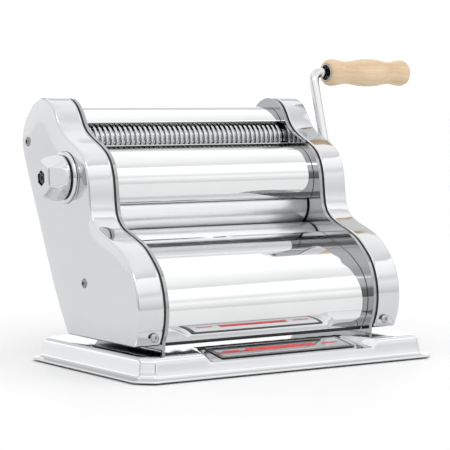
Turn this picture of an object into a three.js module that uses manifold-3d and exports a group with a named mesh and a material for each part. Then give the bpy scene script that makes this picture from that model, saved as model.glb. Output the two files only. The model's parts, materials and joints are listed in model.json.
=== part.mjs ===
// Hand-cranked pasta roller machine: a pair of smooth sheeting rollers, a fine cutter pair above
// them and a wide cutter pair below them, between two side plates on a pressed base tray.
// Frame: millimetres, +Z up, X along the rollers (+X is the crank side), the front is -Y, and the
// origin is the centre of the base on the surface that the machine stands on.
import * as THREE from "three";
import { mergeVertices } from "three/addons/utils/BufferGeometryUtils.js";
import Module from "manifold-3d";

const wasm = await Module();
wasm.setup();

// ---------------------------------------------------------------- driving dimensions
const GAP = 0.3; // clearance between neighbouring pieces
const PLATE_IN = 102, PLATE_OUT = 105; // side plate faces
const COVER_IN = 105.4, COVER_OUT = 131.7, COVER_T = 1.4; // side cover
const SHEET = 1.2; // guards and trays
const A = [49.5, 126.0]; // upper sheeting roller (y, z), fixed
const B = [31.2, 91.4]; // lower sheeting roller at the thinnest setting
const D = [52.4, 155.2]; // regulator shaft and crank axis
const U1 = [81, 185], U2 = [72, 160.4]; // fine cutter pair
const L1 = [-17.1, 63.0], L2 = [-6.9, 41.0]; // wide cutter pair
const ROLLER_R = 19.4, ROLLER_HALF = 101, JOURNAL_R = 6;
const FINE_PITCH = 4.97, FINE_LAND = 14.5, FINE_GROOVE = 11.2, FINE_COUNT = 40;
const WIDE_PITCH = 14.9, WIDE_LAND = 13.5, WIDE_GROOVE = 10.2, WIDE_COUNT = 14;
const CUT_J = 5; // cutter journal radius
const GAP_TRAVEL = 3; // how far the lower roller opens
const CAM_MIN = 9, CAM_TURN = 240; // regulator cam: base radius, degrees for the full travel
const GEAR_X0 = 110.5, GEAR_X1 = 118;
const TRAY = { x: 147, y: 96.5, z0: 1.5, z1: 19.8, lip: 6.4, corner: 12.5, t: 1.2 };
const ARM_X = 141.5, GRIP_Y = 78.3, GRIP_Z = 244.5, GRIP_X0 = 157, GRIP_X1 = 251, ARM_R = 4.5;

// ---------------------------------------------------------------- materials
const mat = (color, roughness, metalness) => () => new THREE.MeshStandardMaterial({ color, roughness, metalness });
const chrome = mat(0xdfe1e3, 0.08, 1);
const satin = mat(0xd2d4d6, 0.28, 1);
const steel = mat(0xb9bcbf, 0.3, 1);
const brass = mat(0xb8974e, 0.35, 1);
const black = mat(0x151617, 0.6, 0);
const rubber = mat(0x1b1c1d, 0.85, 0);
const beech = mat(0xd9b98c, 0.5, 0);
const panel = mat(0x3a3d42, 0.15, 0.6);

const root = new THREE.Group();
function add(name, geometry, material) {
  const g = geometry.index ? geometry : mergeVertices(bare(geometry), 1e-4);
  const mesh = new THREE.Mesh(g, material());
  mesh.name = name;
  root.add(mesh);
  return mesh;
}

// ---------------------------------------------------------------- solids
function bare(g) {
  const c = g.clone();
  for (const k of Object.keys(c.attributes)) if (k !== "position") c.deleteAttribute(k);
  return c;
}
function solid(g) {
  const m = mergeVertices(bare(g), 1e-4);
  return new wasm.Manifold(new wasm.Mesh({
    numProp: 3,
    vertProperties: new Float32Array(m.attributes.position.array),
    triVerts: new Uint32Array(m.index.array),
  }));
}
function geometryOf(s) {
  const m = s.getMesh(), n = m.numProp, v = new Float32Array(m.numVert * 3);
  for (let i = 0; i < m.numVert; i++) v.set(m.vertProperties.subarray(i * n, i * n + 3), i * 3);
  return new THREE.BufferGeometry()
    .setAttribute("position", new THREE.BufferAttribute(v, 3))
    .setIndex(new THREE.BufferAttribute(new Uint32Array(m.triVerts), 1));
}
const cut = (g, ...tools) => geometryOf(tools.reduce((s, t) => s.subtract(solid(t)), solid(g)));
const join = (g, ...more) => geometryOf(more.reduce((s, t) => s.add(solid(t)), solid(g)));
const meet = (g, h) => geometryOf(solid(g).intersect(solid(h)));

// A section in (y, z), extruded along X from x0 to x1: local x, y, z become Y, Z, X.
const TURN = new THREE.Matrix4().makeBasis(new THREE.Vector3(0, 1, 0), new THREE.Vector3(0, 0, 1), new THREE.Vector3(1, 0, 0));
function shapeOf(points, holes = []) {
  const s = new THREE.Shape(points.map(([a, b]) => new THREE.Vector2(a, b)));
  for (const h of holes) s.holes.push(new THREE.Path(h.map(([a, b]) => new THREE.Vector2(a, b))));
  return s;
}
function prism(points, x0, x1, holes = []) {
  return new THREE.ExtrudeGeometry(shapeOf(points, holes), { depth: x1 - x0, bevelEnabled: false, steps: 1 })
    .applyMatrix4(TURN).translate(x0, 0, 0);
}
function ring(c, r, n = 16, phase = 0) {
  return Array.from({ length: n }, (_, i) => {
    const a = phase + (i / n) * 2 * Math.PI;
    return [c[0] + r * Math.cos(a), c[1] + r * Math.sin(a)];
  });
}
function stadium(c0, c1, r, n = 8) {
  const a0 = Math.atan2(c1[1] - c0[1], c1[0] - c0[0]), out = [];
  for (let i = 0; i <= n; i++) {
    const a = a0 - Math.PI / 2 + (i / n) * Math.PI;
    out.push([c1[0] + r * Math.cos(a), c1[1] + r * Math.sin(a)]);
  }
  for (let i = 0; i <= n; i++) {
    const a = a0 + Math.PI / 2 + (i / n) * Math.PI;
    out.push([c0[0] + r * Math.cos(a), c0[1] + r * Math.sin(a)]);
  }
  return out;
}
// A body of revolution about an X-parallel axis at (y, z): profile is [x, r] pairs.
function turned(profile, c, n = 20, phase = 0) {
  const pts = profile.map(([x, r]) => new THREE.Vector2(r, x));
  let g = new THREE.LatheGeometry(pts, n).rotateZ(-Math.PI / 2); // lathe axis Y -> X
  g.rotateX(phase).translate(0, c[0], c[1]);
  return outward(g);
}
// A body of revolution about a vertical axis: profile is [r, z] pairs.
function upright(profile, x, y, n = 16) {
  return outward(new THREE.LatheGeometry(profile.map(([r, z]) => new THREE.Vector2(r, z)), n)
    .rotateX(Math.PI / 2).translate(x, y, 0));
}
function outward(g) {
  const m = mergeVertices(bare(g), 1e-4), p = m.attributes.position, ix = m.index.array;
  const keep = [];
  let vol = 0;
  for (let i = 0; i < ix.length; i += 3) {
    const [a, b, c] = [ix[i], ix[i + 1], ix[i + 2]];
    if (a === b || b === c || a === c) continue;
    keep.push(a, b, c);
    vol += p.getX(a) * (p.getY(b) * p.getZ(c) - p.getZ(b) * p.getY(c))
      - p.getY(a) * (p.getX(b) * p.getZ(c) - p.getZ(b) * p.getX(c))
      + p.getZ(a) * (p.getX(b) * p.getY(c) - p.getY(b) * p.getX(c));
  }
  if (vol < 0) for (let i = 0; i < keep.length; i += 3) [keep[i + 1], keep[i + 2]] = [keep[i + 2], keep[i + 1]];
  m.setIndex(keep);
  return m;
}
// Rings of equal point count, joined in order and capped at both ends.
function loft(rings, flat) {
  const n = rings[0].length, pos = [], idx = [];
  rings.forEach((r) => r.forEach((v) => pos.push(v[0], v[1], v[2])));
  for (let k = 0; k < rings.length - 1; k++) for (let i = 0; i < n; i++) {
    const j = (i + 1) % n, a = k * n + i, b = k * n + j, c = (k + 1) * n + j, d = (k + 1) * n + i;
    idx.push(a, b, c, a, c, d);
  }
  const area = (p, q, r) => (q.x - p.x) * (r.y - p.y) - (q.y - p.y) * (r.x - p.x);
  [[0, rings[0], true], [rings.length - 1, rings[rings.length - 1], false]].forEach(([k, r, first]) => {
    const c2 = r.map((v) => new THREE.Vector2(...flat(v)));
    const ccw = THREE.ShapeUtils.area(c2) > 0;
    for (const [a, b, c] of THREE.ShapeUtils.triangulateShape(c2, [])) {
      const same = area(c2[a], c2[b], c2[c]) > 0 === ccw;
      const t = same ? [a, b, c] : [a, c, b];
      if (first) t.reverse();
      idx.push(...t.map((v) => v + k * n));
    }
  });
  const g = new THREE.BufferGeometry().setAttribute("position", new THREE.Float32BufferAttribute(pos, 3));
  g.setIndex(idx);
  return outward(g);
}
// A closed outline moved inwards by d along its vertex normals.
function inset(points, d) {
  const n = points.length, s = THREE.ShapeUtils.area(points.map(([a, b]) => new THREE.Vector2(a, b))) > 0 ? 1 : -1;
  return points.map((p, i) => {
    const q = points[(i + n - 1) % n], r = points[(i + 1) % n];
    const e1 = [p[0] - q[0], p[1] - q[1]], e2 = [r[0] - p[0], r[1] - p[1]];
    const l1 = Math.hypot(...e1), l2 = Math.hypot(...e2);
    const n1 = [-e1[1] / l1 * s, e1[0] / l1 * s], n2 = [-e2[1] / l2 * s, e2[0] / l2 * s];
    const m = [n1[0] + n2[0], n1[1] + n2[1]], k = (2 * d) / (m[0] * m[0] + m[1] * m[1]);
    return [p[0] + m[0] * k, p[1] + m[1] * k];
  });
}
// A bent sheet: an open (y, z) line thickened to t on its left-hand side.
function strip(line, t, x0, x1) {
  const n = line.length, back = [];
  line.forEach((p, i) => {
    const q = line[Math.max(0, i - 1)], r = line[Math.min(n - 1, i + 1)];
    const dirs = [];
    if (i > 0) dirs.push([p[0] - q[0], p[1] - q[1]]);
    if (i < n - 1) dirs.push([r[0] - p[0], r[1] - p[1]]);
    const ns = dirs.map((e) => { const l = Math.hypot(...e); return [-e[1] / l, e[0] / l]; });
    const m = [ns.reduce((a, v) => a + v[0], 0), ns.reduce((a, v) => a + v[1], 0)];
    const k = (ns.length * t) / (m[0] * m[0] + m[1] * m[1]);
    back.push([p[0] + m[0] * k, p[1] + m[1] * k]);
  });
  return outward(prism([...line, ...back.reverse()], x0, x1));
}
const arc = (c, r, a0, a1, n) => Array.from({ length: n + 1 }, (_, i) => {
  const a = ((a0 + ((a1 - a0) * i) / n) * Math.PI) / 180;
  return [c[0] + r * Math.cos(a), c[1] + r * Math.sin(a)];
});
const box = (x0, x1, y0, y1, z0, z1) => new THREE.BoxGeometry(x1 - x0, y1 - y0, z1 - z0)
  .translate((x0 + x1) / 2, (y0 + y1) / 2, (z0 + z1) / 2);

// ---------------------------------------------------------------- side outline
const FRONT = [[95.5, 222.0], [83.5, 219.8], [75.0, 214.3], [69.3, 206.8], [64.5, 198.7], [58.0, 192.4], [48.0, 187.2],
  [36.0, 181.8], [25.3, 175.2], [18.8, 167.5], [15.0, 157.5], [13.2, 146.0], [12.0, 134.1], [9.3, 123.7], [2.9, 116.8],
  [-8.1, 111.6], [-22.0, 106.8], [-34.8, 100.9], [-46.0, 92.0], [-55.6, 82.0], [-61.2, 70.0], [-64.0, 57.0],
  [-64.0, 46.0], [-61.5, 34.5], [-58.2, 27.4]];
const REAR = [[65.5, 45.5], [80.6, 73.3], [101.1, 115.9], [121.9, 159.3], [129.4, 177.0], [130.7, 186.0],
  [128.6, 195.0], [124.0, 203.0], [116.6, 211.2], [107.0, 218.4], [95.5, 222.0]];
const spline = (p, n) => new THREE.SplineCurve(p.map(([a, b]) => new THREE.Vector2(a, b))).getPoints(n).map((v) => [v.x, v.y]);
const front = spline(FRONT, 34);
const rear = spline(REAR, 16).slice(0, -1);
const coverOutline = [...front, [-56.0, 25.0], [-53.0, 24.5], [47.0, 24.5], [50.5, 25.6], ...rear];
const plateOutline = inset([...front, [-57.5, 19.8], [45.5, 19.8], [50.5, 25.4], ...rear], 0.3);

// ---------------------------------------------------------------- base
function trayRing(hx, hy, c, z, r = 3) {
  // a rectangle with chamfered corners, each chamfer softened by a short facet
  const q = [[hx, hy - c - r], [hx - r * 0.3, hy - c], [hx - c, hy - r * 0.3], [hx - c - r, hy]];
  const out = [];
  for (const [sx, sy, flip] of [[1, 1, false], [-1, 1, true], [-1, -1, false], [1, -1, true]]) {
    const seg = flip ? [...q].reverse() : q;
    for (const [x, y] of seg) out.push([sx * x, sy * y, z]);
  }
  return out;
}
const flatXY = (v) => [v[0], v[1]];
const { x: TX, y: TY, z0: TZ0, z1: TZ1, lip: LIP, corner: CC, t: TT } = TRAY;
const trayOuter = loft([
  trayRing(TX, TY, CC, TZ0), trayRing(TX, TY, CC, TZ0 + 1.6), trayRing(TX - LIP, TY - LIP, CC - 2, TZ0 + 2.6),
  trayRing(TX - LIP - 1.8, TY - LIP - 1.8, CC - 2, TZ1 - 2.2), trayRing(TX - LIP - 4.2, TY - LIP - 4.2, CC - 2.5, TZ1),
], flatXY);
const trayInner = loft([
  trayRing(TX - LIP - TT, TY - LIP - TT, CC - 2.4, TZ0 - 1), trayRing(TX - LIP - 1.8 - TT, TY - LIP - 1.8 - TT, CC - 2.4, TZ1 - 2.6),
  trayRing(TX - LIP - 4.2 - TT, TY - LIP - 4.2 - TT, CC - 2.9, TZ1 - TT),
], flatXY);
// The recess at the front centre: an inclined floor that falls to the front, with sloped side walls.
const RECESS = { x: 1.5, half: 80, back: -51, front: -88, depth: 7 };
function recessCutter(grow) {
  const g = grow, zf = TZ1 - RECESS.depth - g, c = RECESS.x;
  const yb = RECESS.back + g * 1.2, yf = -120;
  const zAt = (y) => TZ1 - g + ((y - RECESS.back) / (RECESS.front - RECESS.back)) * (zf - (TZ1 - g));
  const lo = (y) => {
    const z = zAt(y), top = TZ1 + 3, w = RECESS.half - 9 + Math.min(9, (RECESS.back - y) * 0.25) + g;
    return [[c - w, y, z], [c + w, y, z], [c + w + (top - z), y, top], [c - w - (top - z), y, top]];
  };
  return loft([lo(yf), lo(yb)], (v) => [v[0], v[2]]);
}
add("base_tray", cut(cut(trayOuter, recessCutter(0)), cut(trayInner, recessCutter(TT))), chrome);
add("base_bottom", box(-109, 109, -80, 80, 1.5, 2.7), steel);
{
  // name panel lying on the recess floor; its face is blank
  const slope = Math.atan2(RECESS.depth, RECESS.back - RECESS.front);
  add("name_panel", box(-66, 66, -13.5, 13.5, 0, 0.6).rotateX(slope)
    .translate(RECESS.x, -69.5, TZ1 - RECESS.depth / 2 + 0.35), panel);
}
for (const [n, x, y] of [["foot_front_left", -119, -70], ["foot_front_right", 119, -70], ["foot_rear_left", -119, 70], ["foot_rear_right", 119, 70]])
  add(n, upright([[0, 0], [7.2, 0], [8, 1], [8, 4], [5, 4.6], [5, 17.0], [0, 17.0]], x, y, 12), rubber);

// ---------------------------------------------------------------- side plates and covers
const SLIDE = [B[0] - A[0], B[1] - A[1]].map((v) => v / Math.hypot(B[0] - A[0], B[1] - A[1])); // opening direction
const LAT = [-SLIDE[1], SLIDE[0]]; // across it
const at = (t, l) => [B[0] - SLIDE[0] * t + LAT[0] * l, B[1] - SLIDE[1] * t + LAT[1] * l];
const TIES = [[56, 46], [110, 190], [20, 40]];
// The right cover's lower screw sits a little lower, clear of the lower roller's gear at the widest gap.
const SCREWS_AT = (s) => [[117.4, 184.0], s > 0 ? [19.3, 67.4] : [20.4, 69.7]];
const FRONT_SCREW = { x: 115, z: 32 };
const plateHoles = (s) => [ring(A, 8.3, 16), stadium(B, [B[0] + SLIDE[0] * GAP_TRAVEL, B[1] + SLIDE[1] * GAP_TRAVEL], 6.6, 8),
  ring(D, 4.6, 12), ring(U1, CUT_J + 0.45, 12), ring(U2, CUT_J + 0.45, 12), ring(L1, CUT_J + 0.45, 12), ring(L2, CUT_J + 0.45, 12),
  ...TIES.map((c) => ring(c, 2.9, 8)), ...SCREWS_AT(s).map((c) => ring(c, 2.1, 8))];
for (const [side, s] of [["left", -1], ["right", 1]]) {
  const [x0, x1] = s > 0 ? [PLATE_IN, PLATE_OUT] : [-PLATE_OUT, -PLATE_IN];
  // the plate carries a bent tab at the front that takes the cover's front screw
  const tx = s > 0 ? [x1 - 0.5, FRONT_SCREW.x + 6] : [-(FRONT_SCREW.x + 6), x0 + 0.5];
  const tab = box(tx[0], tx[1], -55.5, -53.5, FRONT_SCREW.z - 4.5, FRONT_SCREW.z + 5);
  const hole = new THREE.CylinderGeometry(2.1, 2.1, 12, 8).translate(s * FRONT_SCREW.x, -55, FRONT_SCREW.z);
  add("side_plate_" + side, cut(join(prism(plateOutline, x0, x1, plateHoles(s)), tab), hole), chrome);
}
function cover(s) {
  const at3 = (o, x) => o.map(([y, z]) => [s * x, y, z]);
  const flat = (v) => [v[1], v[2]];
  const outer = loft([at3(coverOutline, COVER_IN), at3(coverOutline, COVER_OUT - 2.6), at3(inset(coverOutline, 0.8), COVER_OUT - 0.8),
    at3(inset(coverOutline, 2.6), COVER_OUT)], flat);
  const io = inset(coverOutline, COVER_T);
  const inner = loft([at3(io, COVER_IN - 1), at3(io, COVER_OUT - COVER_T)], flat);
  const tools = [inner];
  const bore = (c, r, n = 16) => prism(ring(c, r, n), s > 0 ? 125 : -135, s > 0 ? 135 : -125);
  for (const c of SCREWS_AT(s)) tools.push(bore(c, 2.1, 8));
  tools.push(new THREE.CylinderGeometry(2.1, 2.1, 14, 8).translate(s * FRONT_SCREW.x, -60, FRONT_SCREW.z));
  if (s > 0) tools.push(bore(D, 8.4), bore(U1, 7.5), bore(L1, 7.5));
  else tools.push(bore(D, 8.4));
  return cut(outer, ...tools);
}
add("side_cover_left", cover(-1), satin);
add("side_cover_right", cover(1), satin);
for (const [side, s] of [["left", -1], ["right", 1]]) {
  for (const [k, c] of [["upper", SCREWS_AT(s)[0]], ["lower", SCREWS_AT(s)[1]]])
    add(`cover_screw_${k}_${side}`, turned([[s * 134.0, 0], [s * 133.6, 3.0], [s * 132.9, 4.6], [s * 132.0, 4.6], [s * 132.0, 1.7], [s * 102.6, 1.7], [s * 102.6, 0]], c, 10), chrome);
  add(`front_screw_${side}`, outward(new THREE.LatheGeometry([[0, -2.1], [2.6, -1.7], [3.6, -0.6], [3.6, 0], [1.7, 0], [1.7, 12.3], [0, 12.3]]
    .map(([r, y]) => new THREE.Vector2(r, y)), 10)).translate(s * FRONT_SCREW.x, -62.1, FRONT_SCREW.z), chrome);
}
TIES.forEach((c, i) => {
  const h = PLATE_OUT + 2.2;
  add(`tie_rod_${i + 1}`, turned([[-h, 0], [-h, 4], [-PLATE_OUT - GAP, 4.6], [-PLATE_OUT - GAP, 2.5], [-PLATE_IN + GAP, 2.5], [-PLATE_IN + GAP, 4],
    [PLATE_IN - GAP, 4], [PLATE_IN - GAP, 2.5], [PLATE_OUT + GAP, 2.5], [PLATE_OUT + GAP, 4.6], [h, 4], [h, 0]], c, 10), steel);
});

// ---------------------------------------------------------------- guards, trays, combs
const GX = PLATE_IN - 0.4;
const topGuard = arc([95.5, 187], 25.1, 149, 12, 12);
add("top_guard", strip(topGuard, SHEET, -GX, GX), chrome);
const midGuard = arc([52, 149], 29.8, 101, 212, 10);
add("mid_guard", strip(midGuard, SHEET, -GX, GX), chrome);
const lowerGuard = [[11, 103.6], [-1.8, 98.8], [-19.4, 91.6], [-32.5, 85.2], ...arc([-19, 49], 37, 118, 221, 9)];
add("lower_guard", strip(lowerGuard, SHEET, -GX, GX), chrome);
add("rear_guard", strip([[92.0, 100.5], [112.5, 143.5]], -SHEET, -GX, GX), chrome);
add("upper_feed_tray", strip([[89.5, 163.2], [113.0, 154.6], [116.5, 152.0]], -SHEET, -GX, GX), chrome);
add("sheet_chute", strip([[54.5, 93.5], [77.5, 81.3], [80.0, 78.2]], -SHEET, -GX, GX), chrome);
add("lower_feed_tray", strip([[2.0, 57.0], [14.0, 61.0], [62.0, 57.5], [65.5, 55.0]], -SHEET, -GX, GX), chrome);
// A comb: a flat plate from its finger tips at p0 towards its back edge, fingers on the groove centres.
function comb(p0, dir, root, back, pitch, first, count, t) {
  const pts = [[-GX, back], [-GX, root]];
  for (let k = 0; k < count; k++) {
    const x = first + k * pitch;
    pts.push([Math.max(x - pitch / 2, -99.8), root], [x, 0]);
  }
  pts.push([Math.min(first + (count - 0.5) * pitch, 99.8), root], [GX, root], [GX, back]);
  const clean = pts.filter((p, i) => i === 0 || Math.hypot(p[0] - pts[i - 1][0], p[1] - pts[i - 1][1]) > 0.05);
  const g = new THREE.ExtrudeGeometry(shapeOf(clean), { depth: t, bevelEnabled: false, steps: 1 });
  const u = new THREE.Vector3(0, dir[0], dir[1]).normalize(), x = new THREE.Vector3(1, 0, 0);
  const m = new THREE.Matrix4().makeBasis(x, u, new THREE.Vector3().crossVectors(x, u));
  return outward(g.applyMatrix4(m).translate(0, p0[0], p0[1]));
}
const fineFirst = -((FINE_COUNT - 1) / 2) * FINE_PITCH, wideFirst = -((WIDE_COUNT - 1) / 2) * WIDE_PITCH;
add("upper_comb", comb([70.4, 178.7], [-0.97, 0.24], 4.6, 10, FINE_PITCH, fineFirst + FINE_PITCH / 2, FINE_COUNT - 1, 1.0), steel);
add("upper_comb_rear", comb([66.0, 170.8], [-0.857, 0.515], 4.4, 9.0, FINE_PITCH, fineFirst, FINE_COUNT, 1.0), steel);
add("lower_comb", comb([-15.4, 48.4], [-0.906, -0.423], 6.2, 14, WIDE_PITCH, wideFirst, WIDE_COUNT, 1.0), steel);

// ---------------------------------------------------------------- gears
const TAU = 2 * Math.PI;
function gear(c, n, pitchR, phase, bore, x0, x1, rootHalf = 0.3, tipHalf = 0.12) {
  const m = (2 * pitchR) / n, ro = pitchR + 0.8 * m, ri = pitchR - 1.05 * m, p = [];
  for (let k = 0; k < n; k++) {
    const a = phase + (k / n) * TAU, s = TAU / n;
    for (const [da, r] of [[-rootHalf, ri], [-tipHalf, ro], [tipHalf, ro], [rootHalf, ri]])
      p.push([c[0] + r * Math.cos(a + da * s), c[1] + r * Math.sin(a + da * s)]);
  }
  return prism(p, x0, x1, [ring(c, bore, 12)]);
}
const angle = (p, q) => Math.atan2(q[1] - p[1], q[0] - p[0]);
const dist = (p, q) => Math.hypot(q[0] - p[0], q[1] - p[1]);
// The phase of a gear at q that meshes with one at p of the given phase and tooth counts.
const mesh = (p, phase, np, q, nq) => {
  const al = angle(p, q), eps = phase - al; // tooth of p, measured from the line of centres
  return al + Math.PI - (eps * np) / nq + Math.PI / nq;
};
const N_PINION = 10, N_ROLLER = 20, N_CUT = 14;
const moduleAB = dist(A, B) / N_ROLLER;
const phaseD = angle(D, A);
const phaseA = mesh(D, phaseD, N_PINION, A, N_ROLLER);
const phaseB = mesh(A, phaseA, N_ROLLER, B, N_ROLLER);
const phaseU1 = 0, phaseU2 = mesh(U1, phaseU1, N_CUT, U2, N_CUT);
const phaseL1 = 0, phaseL2 = mesh(L1, phaseL1, N_CUT, L2, N_CUT);
add("drive_pinion", gear(D, N_PINION, (moduleAB * N_PINION) / 2, phaseD, 5.3, GEAR_X0, GEAR_X1, 0.27, 0.1), steel);
add("upper_roller_gear", gear(A, N_ROLLER, (moduleAB * N_ROLLER) / 2, phaseA, JOURNAL_R + 0.3, GEAR_X0, GEAR_X1), steel);
add("lower_roller_gear", gear(B, N_ROLLER, (moduleAB * N_ROLLER) / 2, phaseB, JOURNAL_R + 0.3, GEAR_X0, GEAR_X1), steel);
add("fine_cutter_gear_front", gear(U1, N_CUT, dist(U1, U2) / 2, phaseU1, CUT_J + 0.3, -116, -110.5), steel);
add("fine_cutter_gear_rear", gear(U2, N_CUT, dist(U1, U2) / 2, phaseU2, CUT_J + 0.3, -116, -110.5), steel);
add("wide_cutter_gear_upper", gear(L1, N_CUT, dist(L1, L2) / 2, phaseL1, CUT_J + 0.3, -116, -110.5), steel);
add("wide_cutter_gear_lower", gear(L2, N_CUT, dist(L1, L2) / 2, phaseL2, CUT_J + 0.3, -116, -110.5), steel);

// ---------------------------------------------------------------- rollers
const smooth = (c, xl, xr) => turned([[-xl, 0], [-xl, JOURNAL_R], [-ROLLER_HALF, JOURNAL_R], [-ROLLER_HALF, ROLLER_R - 0.8], [-ROLLER_HALF + 0.8, ROLLER_R],
  [ROLLER_HALF - 0.8, ROLLER_R], [ROLLER_HALF, ROLLER_R - 0.8], [ROLLER_HALF, JOURNAL_R], [xr, JOURNAL_R], [xr, 0]], c, 24);
add("upper_roller", smooth(A, 109.6, 119.5), chrome);
add("lower_roller", smooth(B, 109.6, 119.5), chrome);
// A cutter roller: ridges on the pitch, in opposition to its partner's; a square stub takes the crank.
function cutter(c, pitch, count, land, groove, shift, xl, xr, stub, n) {
  const first = -((count - 1) / 2) * pitch, p = [[-xl, 0], [-xl, CUT_J], [-ROLLER_HALF, CUT_J]];
  if (shift) {
    p.push([-ROLLER_HALF, land - 0.1]);
    for (let k = 0; k < count; k++) {
      p.push([first + k * pitch, groove]);
      if (k < count - 1) p.push([first + (k + 0.5) * pitch, land]);
    }
    p.push([ROLLER_HALF, land - 0.1]);
  } else {
    p.push([-ROLLER_HALF, groove]);
    for (let k = 0; k < count; k++) {
      p.push([first + k * pitch, land]);
      if (k < count - 1) p.push([first + (k + 0.5) * pitch, groove]);
    }
    p.push([ROLLER_HALF, groove]);
  }
  p.push([ROLLER_HALF, CUT_J], [xr, CUT_J], [xr, 0]);
  const g = turned(p, c, n);
  if (!stub) return g;
  return join(g, prism(ring(c, 4.6, 6), xr - 0.5, stub));
}
add("fine_cutter_front", cutter(U1, FINE_PITCH, FINE_COUNT, FINE_LAND, FINE_GROOVE, false, 117, 120, 130, 10), chrome);
add("fine_cutter_rear", cutter(U2, FINE_PITCH, FINE_COUNT, FINE_LAND, FINE_GROOVE, true, 117, 107.5, 0, 10), chrome);
add("wide_cutter_upper", cutter(L1, WIDE_PITCH, WIDE_COUNT, WIDE_LAND, WIDE_GROOVE, false, 117, 120, 130, 10), chrome);
add("wide_cutter_lower", cutter(L2, WIDE_PITCH, WIDE_COUNT, WIDE_LAND, WIDE_GROOVE, true, 117, 107.5, 0, 10), chrome);
for (const [side, s] of [["left", -1], ["right", 1]])
  add("upper_roller_bush_" + side, prism(ring(A, 8.0, 16), s > 0 ? PLATE_IN - 0.4 : -PLATE_OUT - 0.2, s > 0 ? PLATE_OUT + 0.2 : -PLATE_IN + 0.4, [ring(A, 6.3, 16)]), brass);

// ---------------------------------------------------------------- thickness regulator
// Slide plates carry the lower roller's journals; a slot lets the upper journal through, and the
// top edge is the follower under the cam.
const FOLLOW = (D[0] - B[0]) * -SLIDE[0] + (D[1] - B[1]) * -SLIDE[1] - (CAM_MIN + GAP);
const LATSIGN = ((D[0] - B[0]) * LAT[0] + (D[1] - B[1]) * LAT[1]) < 0 ? 1 : -1; // the follower reaches to the shaft's side
const slideShape = [[-12, -10], [-12, 10], [-6, 13], [50, 13], [FOLLOW, 9], [FOLLOW, -19], [48, -19], [38, -13], [-6, -13]]
  .map(([t, l]) => at(t, l * LATSIGN));
const AB = dist(A, B);
for (const [side, s] of [["left", -1], ["right", 1]]) {
  const [x0, x1] = s > 0 ? [105.6, 108.6] : [-108.6, -105.6];
  add("roller_slide_" + side, prism(slideShape, x0, x1, [ring(B, 6.3, 16), stadium(at(AB, 0), at(AB + GAP_TRAVEL, 0), 6.6, 8)]), steel);
  // Snail cam on the regulator shaft: it lifts linearly over CAM_TURN degrees, then dwells, and a flat
  // brings it back to the base radius.
  const contact = Math.atan2(SLIDE[1], SLIDE[0]), pts = [];
  for (let k = 0; k < 36; k++) {
    const phi = k * 10, psi = ((360 - phi) * Math.PI) / 180;
    let r = CAM_MIN + (GAP_TRAVEL * Math.min(phi, CAM_TURN)) / CAM_TURN;
    if (360 - phi <= 60) r = Math.min(r, (CAM_MIN + 0.02) / Math.cos(psi));
    const a = contact - (phi * Math.PI) / 180;
    pts.push([D[0] + r * Math.cos(a), D[1] + r * Math.sin(a)]);
  }
  add("regulator_cam_" + side, outward(prism(pts.reverse(), x0, x1, [ring(D, 4.3, 12)])), steel);
}
add("regulator_shaft", turned([[-150.5, 0], [-150.5, 2.4], [-142, 2.4], [-142, 4], [109.4, 4], [109.4, 2.5], [114, 2.5], [114, 0]], D, 12), steel);
// Knob: a domed body cut to a flaring hexagon, with a hexagonal pocket in its end face.
{
  const body = turned([[-135.9, 0], [-135.9, 18.2], [-136.6, 19.3], [-139.0, 19.35], [-143.0, 18.8], [-147.5, 17.6], [-151.5, 16.4], [-153.6, 15.4], [-153.6, 0]], D, 24);
  const hexAt = (r, x) => ring(D, r, 6, Math.PI / 6).map(([y, z]) => [x, y, z]);
  const hex = loft([hexAt(24.5, -135), hexAt(22.6, -139.5), hexAt(16.2, -154)], (v) => [v[1], v[2]]);
  const pocket = prism(ring(D, 6.6, 6, Math.PI / 6), -155, -147.6);
  const bore = prism(ring(D, 4.3, 12), -142.4, -135);
  const neck = prism(ring(D, 2.7, 12), -148, -142);
  add("regulator_knob", cut(meet(body, hex), pocket, bore, neck), chrome);
}
add("knob_screw", turned([[-152.9, 0], [-152.6, 4.2], [-151.4, 5.0], [-150.8, 5.0], [-150.8, 0]], D, 12), black);
add("knob_collar", turned([[-132.0, 6.5], [-132.0, 22.0], [-133.4, 21.8], [-134.4, 20.6], [-134.4, 6.5], [-132.0, 6.5]], D, 24), chrome);
add("knob_washer", turned([[-134.7, 5.5], [-134.7, 18.3], [-135.6, 18.3], [-135.6, 5.5], [-134.7, 5.5]], D, 20), black);

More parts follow.
